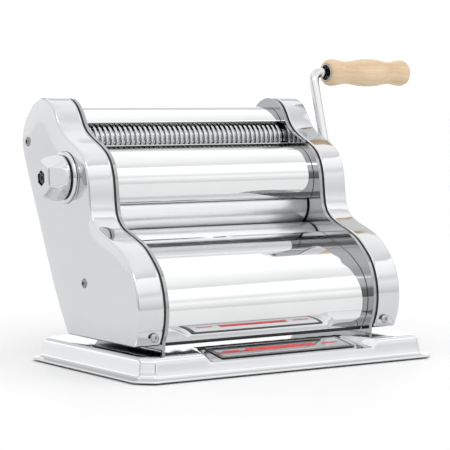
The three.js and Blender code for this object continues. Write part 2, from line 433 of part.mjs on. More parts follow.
// ---------------------------------------------------------------- crank
add("drive_shaft", cut(join(turned([[110.2, 0], [110.2, 5], [134.2, 5], [134.2, 0]], D, 12), prism(ring(D, 5.4, 6), 134.0, 146.6)),
  prism(ring(D, 2.8, 10), 109, 114.6)), steel);
add("drive_bush", turned([[129.6, 5.4], [129.6, 8.0], [132.0, 8.0], [132.0, 10.4], [133.4, 10.4], [133.4, 5.4], [129.6, 5.4]], D, 16), brass);
{
  const q = new THREE.Vector3(0, GRIP_Y - D[0], GRIP_Z - D[1]).normalize();
  const p0 = new THREE.Vector3(ARM_X, D[0], D[1]).addScaledVector(q, 4);
  const top = new THREE.Vector3(ARM_X, GRIP_Y, GRIP_Z), R = 10;
  const path = new THREE.CurvePath();
  const e0 = top.clone().addScaledVector(q, -R), e1 = top.clone().add(new THREE.Vector3(R, 0, 0));
  path.add(new THREE.LineCurve3(p0, e0));
  const bend = new THREE.QuadraticBezierCurve3(e0, top, e1);
  const pts = [p0, p0.clone().lerp(e0, 0.5), ...bend.getPoints(6), new THREE.Vector3(GRIP_X1 - 6, GRIP_Y, GRIP_Z)];
  // mitred tube along pts
  const rings = [];
  const nrm = new THREE.Vector3(1, 0, 0).cross(q).normalize();
  pts.forEach((p, i) => {
    const a = pts[Math.max(0, i - 1)], b = pts[Math.min(pts.length - 1, i + 1)];
    const t = b.clone().sub(a).normalize();
    const u = nrm.clone(), v = new THREE.Vector3().crossVectors(t, u).normalize();
    const R2 = i === pts.length - 1 ? 3.6 : i >= pts.length - 2 ? 3.6 : ARM_R;
    rings.push(Array.from({ length: 12 }, (_, k) => {
      const w = (k / 12) * TAU;
      return [p.x + R2 * (u.x * Math.cos(w) + v.x * Math.sin(w)), p.y + R2 * (u.y * Math.cos(w) + v.y * Math.sin(w)), p.z + R2 * (u.z * Math.cos(w) + v.z * Math.sin(w))];
    }));
  });
  // caps: project the end rings to the plane across the path
  const rod = loft(rings, (v) => [v[1] * q.y + v[2] * q.z + v[0] * 0.9, v[1] * nrm.y + v[2] * nrm.z]);
  const hub = prism(ring(D, 9.5, 16), 134.6, 148.4), socket = prism(ring(D, 5.8, 6), 134, 147.0);
  add("crank_arm", cut(join(hub, rod), socket), chrome);
}
// Turned wooden grip with a blind bore for the crank's pin and a steel ferrule in its near end.
const g0 = GRIP_X0, g1 = GRIP_X1;
add("crank_grip", turned([[g1, 0], [g1 - 0.8, 7.0], [g1 - 3.0, 10.6], [g1 - 6.5, 12.1], [g1 - 13, 11.6], [g1 - 21, 10.45], [g1 - 29, 11.2], [g1 - 40, 12.7],
  [g0 + 44, 12.85], [g0 + 33, 11.9], [g0 + 22, 10.4], [g0 + 14, 11.3], [g0 + 7, 12.35], [g0 + 3, 12.2], [g0 + 0.6, 10.6], [g0, 8.9], [g0, 8.3], [g0 + 9.4, 8.3],
  [g0 + 9.4, 4.0], [g1 - 4.8, 4.0], [g1 - 4.8, 0]], [GRIP_Y, GRIP_Z], 16), beech);
add("grip_ferrule", turned([[g0 - 0.6, 7.0], [g0 - 0.6, 8.0], [g0 + 9.0, 8.0], [g0 + 9.0, 4.0], [g0 + 7.6, 4.0], [g0 + 7.6, 7.0], [g0 - 0.6, 7.0]], [GRIP_Y, GRIP_Z], 16), steel);

export default root;
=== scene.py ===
import json
import math
import random

import bmesh
import bpy
import numpy as np
from mathutils import Matrix, Vector
from mathutils.geometry import delaunay_2d_cdt


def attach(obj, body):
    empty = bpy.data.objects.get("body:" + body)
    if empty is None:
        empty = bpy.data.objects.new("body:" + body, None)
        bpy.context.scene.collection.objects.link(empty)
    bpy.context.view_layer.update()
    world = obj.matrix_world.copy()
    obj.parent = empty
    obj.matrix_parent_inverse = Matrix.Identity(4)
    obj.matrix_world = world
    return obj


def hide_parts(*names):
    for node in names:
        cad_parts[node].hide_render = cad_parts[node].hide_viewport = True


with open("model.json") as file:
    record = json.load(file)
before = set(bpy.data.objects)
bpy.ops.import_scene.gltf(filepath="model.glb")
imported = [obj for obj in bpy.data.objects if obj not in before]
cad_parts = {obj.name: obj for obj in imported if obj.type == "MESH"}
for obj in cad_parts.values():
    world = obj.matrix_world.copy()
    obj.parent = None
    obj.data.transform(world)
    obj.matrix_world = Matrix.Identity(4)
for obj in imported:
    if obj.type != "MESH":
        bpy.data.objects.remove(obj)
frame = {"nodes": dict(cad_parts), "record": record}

random.seed(7)
MM = 0.001
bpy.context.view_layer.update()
NODES = frame["nodes"]
scene = bpy.context.scene

# ------------------------------------------------------------------ camera
CAM_POS = Vector((-871.0, -1308.35, 213.8)) * MM
YAW, PITCH, ROLL = math.radians(33.44), math.radians(-3.65), math.radians(0.19)
fwd = Vector((math.sin(YAW) * math.cos(PITCH), math.cos(YAW) * math.cos(PITCH), math.sin(PITCH)))
cam_data = bpy.data.cameras.new("camera")
cam = bpy.data.objects.new("camera", cam_data)
scene.collection.objects.link(cam)
cam_data.sensor_width = 36.0
cam_data.lens = 149.0
cam_data.clip_start, cam_data.clip_end = 0.05, 60.0
cam.location = CAM_POS
cam.rotation_mode = "QUATERNION"
cam.rotation_quaternion = fwd.to_track_quat("-Z", "Y") @ Matrix.Rotation(-ROLL, 4, "Z").to_quaternion()
scene.camera = cam
scene.view_settings.view_transform = "Standard"


# ------------------------------------------------------------------ materials
class Graph:
    """A small helper over one material's node tree."""

    def __init__(self, name):
        self.mat = bpy.data.materials.new(name)
        self.mat.use_nodes = True
        self.nt = self.mat.node_tree
        self.bsdf = self.nt.nodes["Principled BSDF"]
        self.coord = self.node("ShaderNodeTexCoord").outputs["Object"]

    def node(self, kind, **props):
        n = self.nt.nodes.new(kind)
        for k, v in props.items():
            setattr(n, k, v)
        return n

    def link(self, a, b):
        self.nt.links.new(a, b)

    def put(self, node, name, value):
        if hasattr(value, "is_linked"):
            self.link(value, node.inputs[name])
        else:
            node.inputs[name].default_value = value

    def mapped(self, scale, location=(0, 0, 0), rotation=(0, 0, 0)):
        m = self.node("ShaderNodeMapping")
        m.inputs["Scale"].default_value = scale
        m.inputs["Location"].default_value = location
        m.inputs["Rotation"].default_value = rotation
        self.link(self.coord, m.inputs["Vector"])
        return m.outputs["Vector"]

    def noise(self, vector, scale, detail=4.0, rough=0.5, distortion=0.0):
        n = self.node("ShaderNodeTexNoise")
        self.link(vector, n.inputs["Vector"])
        n.inputs["Scale"].default_value = scale
        n.inputs["Detail"].default_value = detail
        n.inputs["Roughness"].default_value = rough
        n.inputs["Distortion"].default_value = distortion
        return n.outputs["Fac"]

    def ramp(self, fac, stops, interpolation="LINEAR"):
        r = self.node("ShaderNodeValToRGB")
        r.color_ramp.interpolation = interpolation
        el = r.color_ramp.elements
        while len(el) < len(stops):
            el.new(0.5)
        for e, (p, c) in zip(el, stops):
            e.position = p
            e.color = (*c, 1.0) if len(c) == 3 else c
        self.link(fac, r.inputs["Fac"])
        return r.outputs["Color"]

    def map_range(self, value, a, b, c, d):
        m = self.node("ShaderNodeMapRange")
        self.link(value, m.inputs["Value"])
        for k, v in zip(("From Min", "From Max", "To Min", "To Max"), (a, b, c, d)):
            m.inputs[k].default_value = v
        return m.outputs["Result"]

    def math(self, op, a, b=0.0):
        m = self.node("ShaderNodeMath", operation=op)
        for i, v in enumerate((a, b)):
            if hasattr(v, "is_linked"):
                self.link(v, m.inputs[i])
            else:
                m.inputs[i].default_value = v
        return m.outputs[0]

    def bump(self, height, strength, distance, normal=None):
        b = self.node("ShaderNodeBump")
        b.inputs["Strength"].default_value = strength
        b.inputs["Distance"].default_value = distance
        self.link(height, b.inputs["Height"])
        if normal is not None:
            self.link(normal, b.inputs["Normal"])
        return b.outputs["Normal"]

    def set(self, **values):
        for k, v in values.items():
            self.put(self.bsdf, k.replace("_", " "), v)
        return self.mat


def metal(name, color, rough, spread, grain=None, grain_strength=0.0, tint=0.04, waviness=0.0):
    """Polished metal: a slow change of polish, a fine wiping grain along one axis, and faint colour variation."""
    g = Graph(name)
    slow = g.noise(g.mapped((1, 1, 1)), 22.0, 3.0, 0.55)
    c = tuple(max(0.0, v * (1 - tint)) for v in color)
    base = g.ramp(slow, [(0.3, c), (0.7, color)])
    wipe = g.noise(g.mapped(grain or (60, 60, 60)), 12.0, 3.0, 0.6)
    rr = g.math("ADD", g.map_range(slow, 0.3, 0.7, rough - spread, rough + spread), g.map_range(wipe, 0.3, 0.7, -spread * 0.5, spread * 0.5))
    rr = g.math("MAXIMUM", rr, 0.02)
    normal = None
    if grain_strength:
        normal = g.bump(wipe, grain_strength, 0.00002)
    if waviness:
        normal = g.bump(g.noise(g.mapped((1, 1, 1)), 9.0, 1.0, 0.4), waviness, 0.0004, normal)
    g.set(Base_Color=base, Metallic=1.0, Roughness=rr)
    if normal is not None:
        g.link(normal, g.bsdf.inputs["Normal"])
    return g.mat


M = {}
M["chrome"] = metal("mirror_chrome", (0.665, 0.67, 0.68), 0.05, 0.02, grain=(2, 60, 60), grain_strength=0.06, waviness=0.02)
M["guard"] = metal("guard_chrome", (0.785, 0.79, 0.795), 0.055, 0.02, grain=(2, 60, 60), grain_strength=0.06, waviness=0.02)
M["cover"] = metal("cover_chrome", (0.655, 0.66, 0.675), 0.085, 0.025, grain=(60, 4, 60), grain_strength=0.06, waviness=0.03)
M["plate"] = metal("plate_stainless", (0.40, 0.405, 0.41), 0.085, 0.03, grain=(60, 4, 60), grain_strength=0.08)
M["tray"] = metal("pressed_chrome", (0.71, 0.715, 0.725), 0.075, 0.025, grain=(6, 60, 60), grain_strength=0.06, waviness=0.04)
M["roller"] = metal("ground_roller", (0.87, 0.875, 0.88), 0.32, 0.04, grain=(1.2, 90, 90), grain_strength=0.15)
M["cutter"] = metal("cutter_steel", (0.60, 0.605, 0.61), 0.15, 0.04, grain=(90, 20, 20), grain_strength=0.12)
# Darkened screw steel: painted dark reflections of the dimples round the cover screws.
M["screw"] = metal("screw_steel", (0.27, 0.275, 0.28), 0.18, 0.05, grain=(60, 60, 60), grain_strength=0.1)
# Inner side of the covers: unpolished steel, darkened to near black as painted shade of the hollow under each cover.
M["inner"] = metal("unpolished_inside", (0.05, 0.05, 0.052), 0.45, 0.08, grain=(40, 40, 40), grain_strength=0.3)
M["steel"] = metal("machined_steel", (0.46, 0.465, 0.475), 0.28, 0.06, grain=(40, 40, 40), grain_strength=0.25)
M["brass"] = metal("bearing_bronze", (0.66, 0.47, 0.22), 0.26, 0.06, grain=(60, 60, 60), grain_strength=0.2)


def make_black(name, color, rough):
    g = Graph(name)
    n = g.noise(g.mapped((1, 1, 1)), 260.0, 5.0, 0.6)
    g.set(Base_Color=g.ramp(n, [(0.3, tuple(c * 0.8 for c in color)), (0.7, tuple(c * 1.3 for c in color))]), Metallic=0.0, Roughness=g.map_range(n, 0.3, 0.7, rough - 0.06, rough + 0.06))
    g.link(g.bump(n, 0.25, 0.00008), g.bsdf.inputs["Normal"])
    return g.mat


# Near-black material: the knob screw's own black finish, and painted shade where it fills the gap ring under the knob.
M["black"] = make_black("black_finish_and_painted_shade", (0.012, 0.012, 0.013), 0.42)
# Black rubber: the feet's own colour, also used as painted shade for the cover gap strips and the strip under the lower
# guard.
M["rubber"] = make_black("rubber_and_painted_shade", (0.02, 0.02, 0.021), 0.75)


def make_wood():
    g = Graph("turned_beech")
    wob = g.noise(g.mapped((6, 22, 22)), 3.0, 3.0, 0.5)
    fine = g.noise(g.mapped((14, 420, 420)), 1.0, 6.0, 0.62, 0.4)
    bands = g.noise(g.mapped((5, 130, 130), rotation=(0.2, 0.03, 0)), 1.0, 3.0, 0.5, 0.8)
    flecks = g.noise(g.mapped((70, 900, 900)), 1.0, 2.0, 0.5)
    c1 = g.ramp(bands, [(0.30, (0.655, 0.475, 0.30)), (0.50, (0.735, 0.56, 0.375)), (0.72, (0.79, 0.63, 0.445))])
    c2 = g.ramp(fine, [(0.35, (0.80, 0.76, 0.70)), (0.62, (1.0, 1.0, 1.0))])
    mix = g.node("ShaderNodeMix", data_type="RGBA", blend_type="MULTIPLY")
    mix.inputs["Factor"].default_value = 0.55
    g.link(c1, mix.inputs["A"])
    g.link(c2, mix.inputs["B"])
    c3 = g.ramp(flecks, [(0.26, (0.62, 0.48, 0.36)), (0.36, (1, 1, 1))])
    mix2 = g.node("ShaderNodeMix", data_type="RGBA", blend_type="MULTIPLY")
    mix2.inputs["Factor"].default_value = 0.35
    g.link(mix.outputs["Result"], mix2.inputs["A"])
    g.link(c3, mix2.inputs["B"])
    height = g.math("ADD", g.math("MULTIPLY", fine, 0.6), g.math("MULTIPLY", wob, 0.2))
    g.set(Base_Color=mix2.outputs["Result"], Roughness=g.map_range(fine, 0.3, 0.7, 0.42, 0.56), Metallic=0.0, Specular_IOR_Level=0.4)
    g.link(g.bump(height, 0.35, 0.00012), g.bsdf.inputs["Normal"])
    return g.mat


M["wood"] = make_wood()


def make_panel():
    """Dark glossy plate with a plain brushed field and blank red bars: no lettering."""
    g = Graph("name_panel_face")
    n = g.noise(g.mapped((3, 240, 240)), 6.0, 4.0, 0.6)
    g.set(Base_Color=g.ramp(n, [(0.3, (0.030, 0.031, 0.034)), (0.7, (0.055, 0.057, 0.062))]), Metallic=0.2, Roughness=g.map_range(n, 0.3, 0.7, 0.10, 0.16), Coat_Weight=0.6)
    return g.mat


def make_red():
    g = Graph("panel_red")
    n = g.noise(g.mapped((1, 1, 1)), 120.0, 4.0, 0.5)
    g.set(Base_Color=g.ramp(n, [(0.3, (0.62, 0.02, 0.03)), (0.7, (0.78, 0.04, 0.05))]), Metallic=0.0, Roughness=g.map_range(n, 0.3, 0.7, 0.28, 0.38))
    return g.mat


M["panel"] = make_panel()
M["red"] = make_red()


# ------------------------------------------------------------------ mesh helpers
def piece(name, verts, faces, mat, body, *replaced, slot=None, angle=35.0, bevel=0.0, solidify=0.0, offset=-1.0):
    """A finished mesh piece from millimetre vertices."""
    me = bpy.data.meshes.new(name)
    me.from_pydata([tuple(float(c) * MM for c in v) for v in verts], [], [tuple(int(i) for i in f) for f in faces])
    me.validate()
    bm = bmesh.new()
    bm.from_mesh(me)
    bmesh.ops.remove_doubles(bm, verts=bm.verts, dist=1e-7)
    bmesh.ops.recalc_face_normals(bm, faces=bm.faces)
    if bm.faces and not solidify and bm.calc_volume(signed=True) < 0:
        bmesh.ops.reverse_faces(bm, faces=bm.faces)
    bm.to_mesh(me)
    bm.free()
    for p in me.polygons:
        p.use_smooth = True
    me.set_sharp_from_angle(angle=math.radians(angle))
    ob = bpy.data.objects.new(name, me)
    scene.collection.objects.link(ob)
    me.materials.append(mat)
    if solidify:
        m = ob.modifiers.new("thickness", "SOLIDIFY")
        m.thickness, m.offset = solidify * MM, offset
    if bevel:
        m = ob.modifiers.new("edges", "BEVEL")
        m.width, m.segments, m.limit_method, m.angle_limit = bevel * MM, 2, "ANGLE", math.radians(40)
        m.harden_normals = True
    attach(ob, body)
    if replaced:
        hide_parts(*replaced)
    return ob


def rev_rings(profile, n):
    """Rings of a body of revolution: profile items are (along, radius or f(theta))."""
    th = np.arange(n) / n * 2 * math.pi
    return [(a, (np.array([r(t) for t in th]) if callable(r) else np.full(n, float(r)))) for a, r in profile], th


def revolve(name, profile, centre, mat, body, *replaced, n=96, axis="x", **kw):
    """Revolved piece. A profile end with radius 0 closes on the axis; otherwise the profile closes on itself."""
    rings, th = rev_rings(profile, n)
    verts, index, faces = [], [], []

    def place(a, r, t):
        if axis == "x":
            return (a, centre[0] + r * math.cos(t), centre[1] + r * math.sin(t))
        if axis == "z":
            return (centre[0] + r * math.cos(t), centre[1] + r * math.sin(t), a)
        return (centre[0] + r * math.cos(t), a, centre[1] + r * math.sin(t))

    for a, r in rings:
        if np.max(r) < 1e-9:
            verts.append(place(a, 0.0, 0.0))
            index.append([len(verts) - 1] * n)
        else:
            start = len(verts)
            verts += [place(a, r[i], th[i]) for i in range(n)]
            index.append(list(range(start, start + n)))
    pairs = list(zip(index[:-1], index[1:]))
    if np.max(rings[0][1]) > 1e-9 and np.max(rings[-1][1]) > 1e-9:
        pairs.append((index[-1], index[0]))
    for p, q in pairs:
        for i in range(n):
            j = (i + 1) % n
            f = [p[i], p[j], q[j], q[i]]
            f = [v for k, v in enumerate(f) if v != f[k - 1]]
            if len(f) > 2:
                faces.append(f)
    return piece(name, verts, faces, mat, body, *replaced, **kw)


def catmull(points, n):
    """Uniform Catmull-Rom through the points, as the CAD outline uses."""
    pts = np.array(points, float)
    out = []
    for i in range(n + 1):
        p = (len(pts) - 1) * i / n
        k = min(int(math.floor(p)), len(pts) - 1)
        w = p - k
        p0, p1 = pts[k if k == 0 else k - 1], pts[k]
        p2 = pts[len(pts) - 1 if k > len(pts) - 2 else k + 1]
        p3 = pts[len(pts) - 1 if k > len(pts) - 3 else k + 2]
        v0, v1 = (p2 - p0) * 0.5, (p3 - p1) * 0.5
        out.append((2 * p1 - 2 * p2 + v0 + v1) * w**3 + (-3 * p1 + 3 * p2 - 2 * v0 - v1) * w**2 + v0 * w + p1)
    return np.array(out)


def resample(line, step, closed=False):
    line = np.array(line, float)
    if closed:
        line = np.vstack([line, line[:1]])
    d = np.hypot(*(line[1:] - line[:-1]).T)
    s = np.concatenate([[0], np.cumsum(d)])
    n = max(2, int(round(s[-1] / step)))
    t = np.linspace(0, s[-1], n + 1)
    out = np.stack([np.interp(t, s, line[:, 0]), np.interp(t, s, line[:, 1])], 1)
    return out[:-1] if closed else out


def smooth_open(line, passes):
    line = line.copy()
    for _ in range(passes):
        line[1:-1] = 0.25 * line[:-2] + 0.5 * line[1:-1] + 0.25 * line[2:]
    return line


def area2(p):
    p = np.array(p)
    x, y = p[:, 0], p[:, 1]
    return 0.5 * float(np.sum(x * np.roll(y, -1) - np.roll(x, -1) * y))


def inset(outline, d):
    p = np.array(outline, float)
    s = 1.0 if area2(p) > 0 else -1.0
    e1 = p - np.roll(p, 1, 0)
    e2 = np.roll(p, -1, 0) - p
    e1 /= np.linalg.norm(e1, axis=1)[:, None]
    e2 /= np.linalg.norm(e2, axis=1)[:, None]
    n1 = np.stack([-e1[:, 1], e1[:, 0]], 1) * s
    n2 = np.stack([-e2[:, 1], e2[:, 0]], 1) * s
    m = n1 + n2
    k = 2 * d / np.sum(m * m, 1)
    return p + m * np.minimum(k, 3 * abs(d) + 1e-9 if d >= 0 else k)[:, None]


def circle(c, r, n=32, phase=0.0):
    return np.array([(c[0] + r * math.cos(phase + i / n * 2 * math.pi), c[1] + r * math.sin(phase + i / n * 2 * math.pi)) for i in range(n)])


def stadium(c0, c1, r, n=16):
    a0 = math.atan2(c1[1] - c0[1], c1[0] - c0[0])
    out = [(c1[0] + r * math.cos(a0 - math.pi / 2 + i / n * math.pi), c1[1] + r * math.sin(a0 - math.pi / 2 + i / n * math.pi)) for i in range(n + 1)]
    out += [(c0[0] + r * math.cos(a0 + math.pi / 2 + i / n * math.pi), c0[1] + r * math.sin(a0 + math.pi / 2 + i / n * math.pi)) for i in range(n + 1)]
    return np.array(out)


def inside(points, poly):
    x, y = points[:, 0][:, None], points[:, 1][:, None]
    px, py = poly[:, 0][None], poly[:, 1][None]
    qx, qy = np.roll(poly[:, 0], -1)[None], np.roll(poly[:, 1], -1)[None]
    cross = ((py > y) != (qy > y)) & (x < (qx - px) * (y - py) / (qy - py + 1e-30) + px)
    return (np.sum(cross, 1) % 2) == 1


def edge_distance(points, poly):
    a, b = poly, np.roll(poly, -1, 0)
    ab = b - a
    ap = points[:, None] - a[None]
    t = np.clip(np.sum(ap * ab[None], 2) / (np.sum(ab * ab, 1)[None] + 1e-30), 0, 1)
    return np.min(np.linalg.norm(ap - t[..., None] * ab[None], axis=2), 1)


def fill(outline, holes=(), step=0.0):
    """Triangles over an outline with holes, and interior grid points every step: (points, triangles)."""
    loops = [np.array(outline)] + [np.array(h) for h in holes]
    pts = [tuple(p) for lp in loops for p in lp]
    edges, k = [], 0
    for lp in loops:
        n = len(lp)
        edges += [(k + i, k + (i + 1) % n) for i in range(n)]
        k += n
    if step:
        lo, hi = loops[0].min(0), loops[0].max(0)
        gx, gy = np.meshgrid(np.arange(lo[0] + step / 2, hi[0], step), np.arange(lo[1] + step / 2, hi[1], step * 0.866))
        gx[1::2] += step / 2
        g = np.stack([gx.ravel(), gy.ravel()], 1)
        g = g[inside(g, loops[0])]
        for lp in loops:
            g = g[edge_distance(g, lp) > step * 0.45]
        for lp in loops[1:]:
            g = g[~inside(g, lp)]
        pts += [tuple(p) for p in g]
    v, _, f, orig, _, _ = delaunay_2d_cdt([Vector(p) for p in pts], edges, [], 0, 1e-7)
    back = [o[0] if o else -1 for o in orig]
    va = np.array([(p.x, p.y) for p in v])
    tri = np.array([list(t) for t in f if len(t) == 3])
    mid = va[tri].mean(1)
    ok = inside(mid, loops[0])
    for lp in loops[1:]:
        ok &= ~inside(mid, lp)
    order = {b: i for i, b in enumerate(back) if b >= 0}
    remap = np.array([back[i] if back[i] >= 0 else -1 for i in range(len(va))])
    if (remap < 0).any():
        raise RuntimeError("fill made a new vertex")
    return np.array(pts), [tuple(int(remap[i]) for i in t) for t in tri[ok]]


def slab(name, outline, x0, x1, mat, body, *replaced, holes=(), **kw):
    """A flat plate in the (y, z) plane from x0 to x1, with holes."""
    pts, tri = fill(outline, holes)
    n = len(pts)
    verts = [(x0, p[0], p[1]) for p in pts] + [(x1, p[0], p[1]) for p in pts]
    faces = [t for t in tri] + [tuple(i + n for i in reversed(t)) for t in tri]
    k = 0
    for lp in [outline, *holes]:
        m = len(lp)
        faces += [(k + i, k + (i + 1) % m, n + k + (i + 1) % m, n + k + i) for i in range(m)]
        k += m
    return piece(name, verts, faces, mat, body, *replaced, **kw)


def sheet_section(line, t, end_round=True):
    """Closed (y, z) section of a bent sheet of thickness t on the line's left, with rounded ends."""
    line = np.array(line, float)
    d = np.gradient(line, axis=0)
    d /= np.linalg.norm(d, axis=1)[:, None]
    nrm = np.stack([-d[:, 1], d[:, 0]], 1)
    a, b = line, line + nrm * t
    if not end_round:
        return np.vstack([a, b[::-1]])
    out = list(a)
    for c, dirv, nv in ((line[-1] + nrm[-1] * t / 2, d[-1], nrm[-1]),):
        for k in range(1, 6):
            w = -math.pi / 2 + k * math.pi / 6
            out.append(c + (dirv * math.cos(w) + nv * math.sin(w)) * t / 2 * 0.98)
    out += list(b[::-1])
    c, dirv, nv = line[0] + nrm[0] * t / 2, -d[0], nrm[0]
    for k in range(1, 6):
        w = math.pi / 2 - k * math.pi / 6
        out.append(c + (dirv * math.cos(w) + nv * math.sin(w)) * t / 2 * 0.98)
    return np.array(out)


def bent_sheet(name, line, t, half, mat, body, *replaced, xs=None, **kw):
    sec = sheet_section(line, t)
    return slab(name, sec, -half, half, mat, body, *replaced, bevel=kw.pop("bevel", 0.25), **kw)


def arc(c, r, a0, a1, n):
    return np.array([(c[0] + r * math.cos(math.radians(a0 + (a1 - a0) * i / n)), c[1] + r * math.sin(math.radians(a0 + (a1 - a0) * i / n))) for i in range(n + 1)])


# ------------------------------------------------------------------ layout (mm), as in the CAD
A, B, D = (49.5, 126.0), (31.2, 91.4), (52.4, 155.2)
U1, U2, L1, L2 = (81, 185), (72, 160.4), (-17.1, 63.0), (-6.9, 41.0)
FRONT = [[95.5, 222.0], [83.5, 219.8], [75.0, 214.3], [69.3, 206.8], [64.5, 198.7], [58.0, 192.4], [48.0, 187.2],
         [36.0, 181.8], [25.3, 175.2], [18.8, 167.5], [15.0, 157.5], [13.2, 146.0], [12.0, 134.1], [9.3, 123.7], [2.9, 116.8],
         [-8.1, 111.6], [-22.0, 106.8], [-34.8, 100.9], [-46.0, 92.0], [-55.6, 82.0], [-61.2, 70.0], [-64.0, 57.0],
         [-64.0, 46.0], [-61.5, 34.5], [-58.2, 27.4]]
REAR = [[65.5, 45.5], [80.6, 73.3], [101.1, 115.9], [121.9, 159.3], [129.4, 177.0], [130.7, 186.0],
        [128.6, 195.0], [124.0, 203.0], [116.6, 211.2], [107.0, 218.4], [95.5, 222.0]]
loop = np.vstack([catmull(REAR, 200)[:-1], catmull(FRONT, 400)])
loop = resample(loop, 1.2)
loop = smooth_open(loop, 14)


def round_corner(p, q, r, radius, n=8):
    """Points of a fillet at q between p and r."""
    p, q, r = (np.array(v, float) for v in (p, q, r))
    u, v = (p - q) / np.linalg.norm(p - q), (r - q) / np.linalg.norm(r - q)
    half = math.acos(max(-1, min(1, float(u @ v)))) / 2
    t = radius / math.tan(half)
    a, b = q + u * t, q + v * t
    c = q + (u + v) / np.linalg.norm(u + v) * radius / math.sin(half)
    out = []
    for k in range(n + 1):
        w = k / n
        d = (a - c) * (1 - w) + (b - c) * w
        out.append(c + d / np.linalg.norm(d) * radius)
    return out


cover_bottom = 24.5
fr_end, re_start = loop[-1], loop[0]
c1 = round_corner(fr_end, (-56.6, cover_bottom), (0, cover_bottom), 3.0)
c2 = round_corner((0, cover_bottom), (51.6, cover_bottom), re_start, 3.0)
bottom_line = resample(np.array([c1[-1], c2[0]]), 3.0)[1:-1]
cover_outline = np.vstack([loop, c1, bottom_line, c2])
plate_outline = inset(np.vstack([loop, [(-57.9, 21.3), (-57.2, 19.9)], [(-56.6, 19.8)], resample(np.array([[-56.6, 19.8], [45.0, 19.8]]), 4.0)[1:], [(46.5, 20.6)], [(51.2, 25.2)]]), 0.3)

TIES = [(56, 46), (110, 190), (20, 40)]
SCREWS = {-1: [(117.4, 184.0), (20.4, 69.7)], 1: [(117.4, 184.0), (19.3, 67.4)]}
FSX, FSZ = 115.0, 32.0
slide = np.array([B[0] - A[0], B[1] - A[1]])
slide /= np.linalg.norm(slide)

# ------------------------------------------------------------------ side plates and covers
for side, s in (("left", -1), ("right", 1)):
    holes = [circle(A, 8.3, 40), stadium(B, (B[0] + slide[0] * 3, B[1] + slide[1] * 3), 6.6), circle(D, 4.6, 24)]
    holes += [circle(c, 5.45, 28) for c in (L1, L2, U1, U2)] + [circle(c, 2.9, 16) for c in TIES] + [circle(c, 2.1, 16) for c in SCREWS[s]]
    slab("side_plate_visual_" + side, plate_outline, *sorted((s * 102.0, s * 105.0)), M["plate"], "frame", "side_plate_" + side, holes=holes, slot="chrome", bevel=0.5)
    # the bent tab that takes the front screw
    tab = [(s * 105.02, -55.5), (s * 121.0, -55.5), (s * 121.0, -53.5), (s * 105.02, -53.5)]
    tv = [(x, y, FSZ - 4.5) for x, y in tab] + [(x, y, FSZ + 5.0) for x, y in tab]
    tf = [(0, 3, 2, 1), (4, 5, 6, 7)] + [(i, (i + 1) % 4, 4 + (i + 1) % 4, 4 + i) for i in range(4)]
    piece("plate_tab_" + side, tv, tf, M["plate"], "frame", slot="chrome", bevel=0.5)

ROUND = 2.2


def cover(side, s):
    """Deep-drawn side cover: a skirt along the outline, a rounded rim and a slightly crowned face."""
    edge_x = 130.6
    prof = [(107.1, 0.25), (107.4, 0.0), (109.5, 0.0), (114.0, 0.0), (121.0, 0.0), (edge_x - ROUND, 0.0)]
    prof += [(edge_x - ROUND + ROUND * math.sin(math.radians(a)), ROUND * (1 - math.cos(math.radians(a)))) for a in (12, 24, 36, 48, 60, 72, 82)]
    verts, faces = [], []
    n = len(cover_outline)
    for x, d in prof:
        ring = inset(cover_outline, d) if d else cover_outline
        verts += [(s * x, p[0], p[1]) for p in ring]
    for k in range(len(prof) - 1):
        faces += [(k * n + i, k * n + (i + 1) % n, (k + 1) * n + (i + 1) % n, (k + 1) * n + i) for i in range(n)]
    rim = inset(cover_outline, ROUND)
    holes = [circle(c, 3.0, 24) for c in SCREWS[s]] + [circle(D, 8.6, 48)]
    if s > 0:
        holes += [circle(L1, 7.6, 40), circle(U1, 7.6, 40)]
    pts, tri = fill(rim, holes, 3.2)
    dist = edge_distance(pts, rim)
    t = np.clip(dist / 17.0, 0, 1)
    crown = 1.1 * (1 - (1 - t) ** 2)
    base = len(verts)
    verts += [(s * (edge_x + c), p[0], p[1]) for p, c in zip(pts, crown)]
    faces += [tuple(base + i for i in f) for f in tri]
    faces += [((len(prof) - 1) * n + i, (len(prof) - 1) * n + (i + 1) % n, base + (i + 1) % n, base + i) for i in range(n)]
    # dimples that run in to the screws
    for q, c in enumerate(SCREWS[s]):
        k0 = base + n + q * 24
        ring0 = list(range(k0, k0 + 24))
        prev = ring0
        for r, dx in ((2.6, 0.35), (2.15, 0.6)):
            start = len(verts)
            verts += [(s * (edge_x + 1.1 - dx), c[0] + r * math.cos(i / 24 * 2 * math.pi), c[1] + r * math.sin(i / 24 * 2 * math.pi)) for i in range(24)]
            cur = list(range(start, start + 24))
            faces += [(prev[i], prev[(i + 1) % 24], cur[(i + 1) % 24], cur[i]) for i in range(24)]
            prev = cur
    me_verts = np.array(verts)
    ob = piece("side_cover_visual_" + side, me_verts, faces, M["cover"], "frame", "side_cover_" + side, slot="cover_steel", angle=50, solidify=1.3, offset=-1.0)
    # normals must look outwards for the thickness to grow inwards
    me = ob.data
    bm = bmesh.new()
    bm.from_mesh(me)
    bmesh.ops.recalc_face_normals(bm, faces=bm.faces)
    top = max(bm.faces, key=lambda f: s * f.calc_center_median().x)
    if top.normal.x * s < 0:
        bmesh.ops.reverse_faces(bm, faces=bm.faces)
    under = [f for f in bm.faces if f.normal.z < -0.98 and -50 * MM < f.calc_center_median().y < 45 * MM and abs(f.calc_center_median().x) < 128.3 * MM]
    bmesh.ops.delete(bm, geom=under, context="FACES")
    bm.to_mesh(me)
    bm.free()
    # the inner shell takes the near-black painted shade of the cover's hollow
    me.materials.append(M["inner"])
    for m in ob.modifiers:
        if m.type == "SOLIDIFY":
            m.material_offset = 1
    return ob


cover("left", -1)
cover("right", 1)
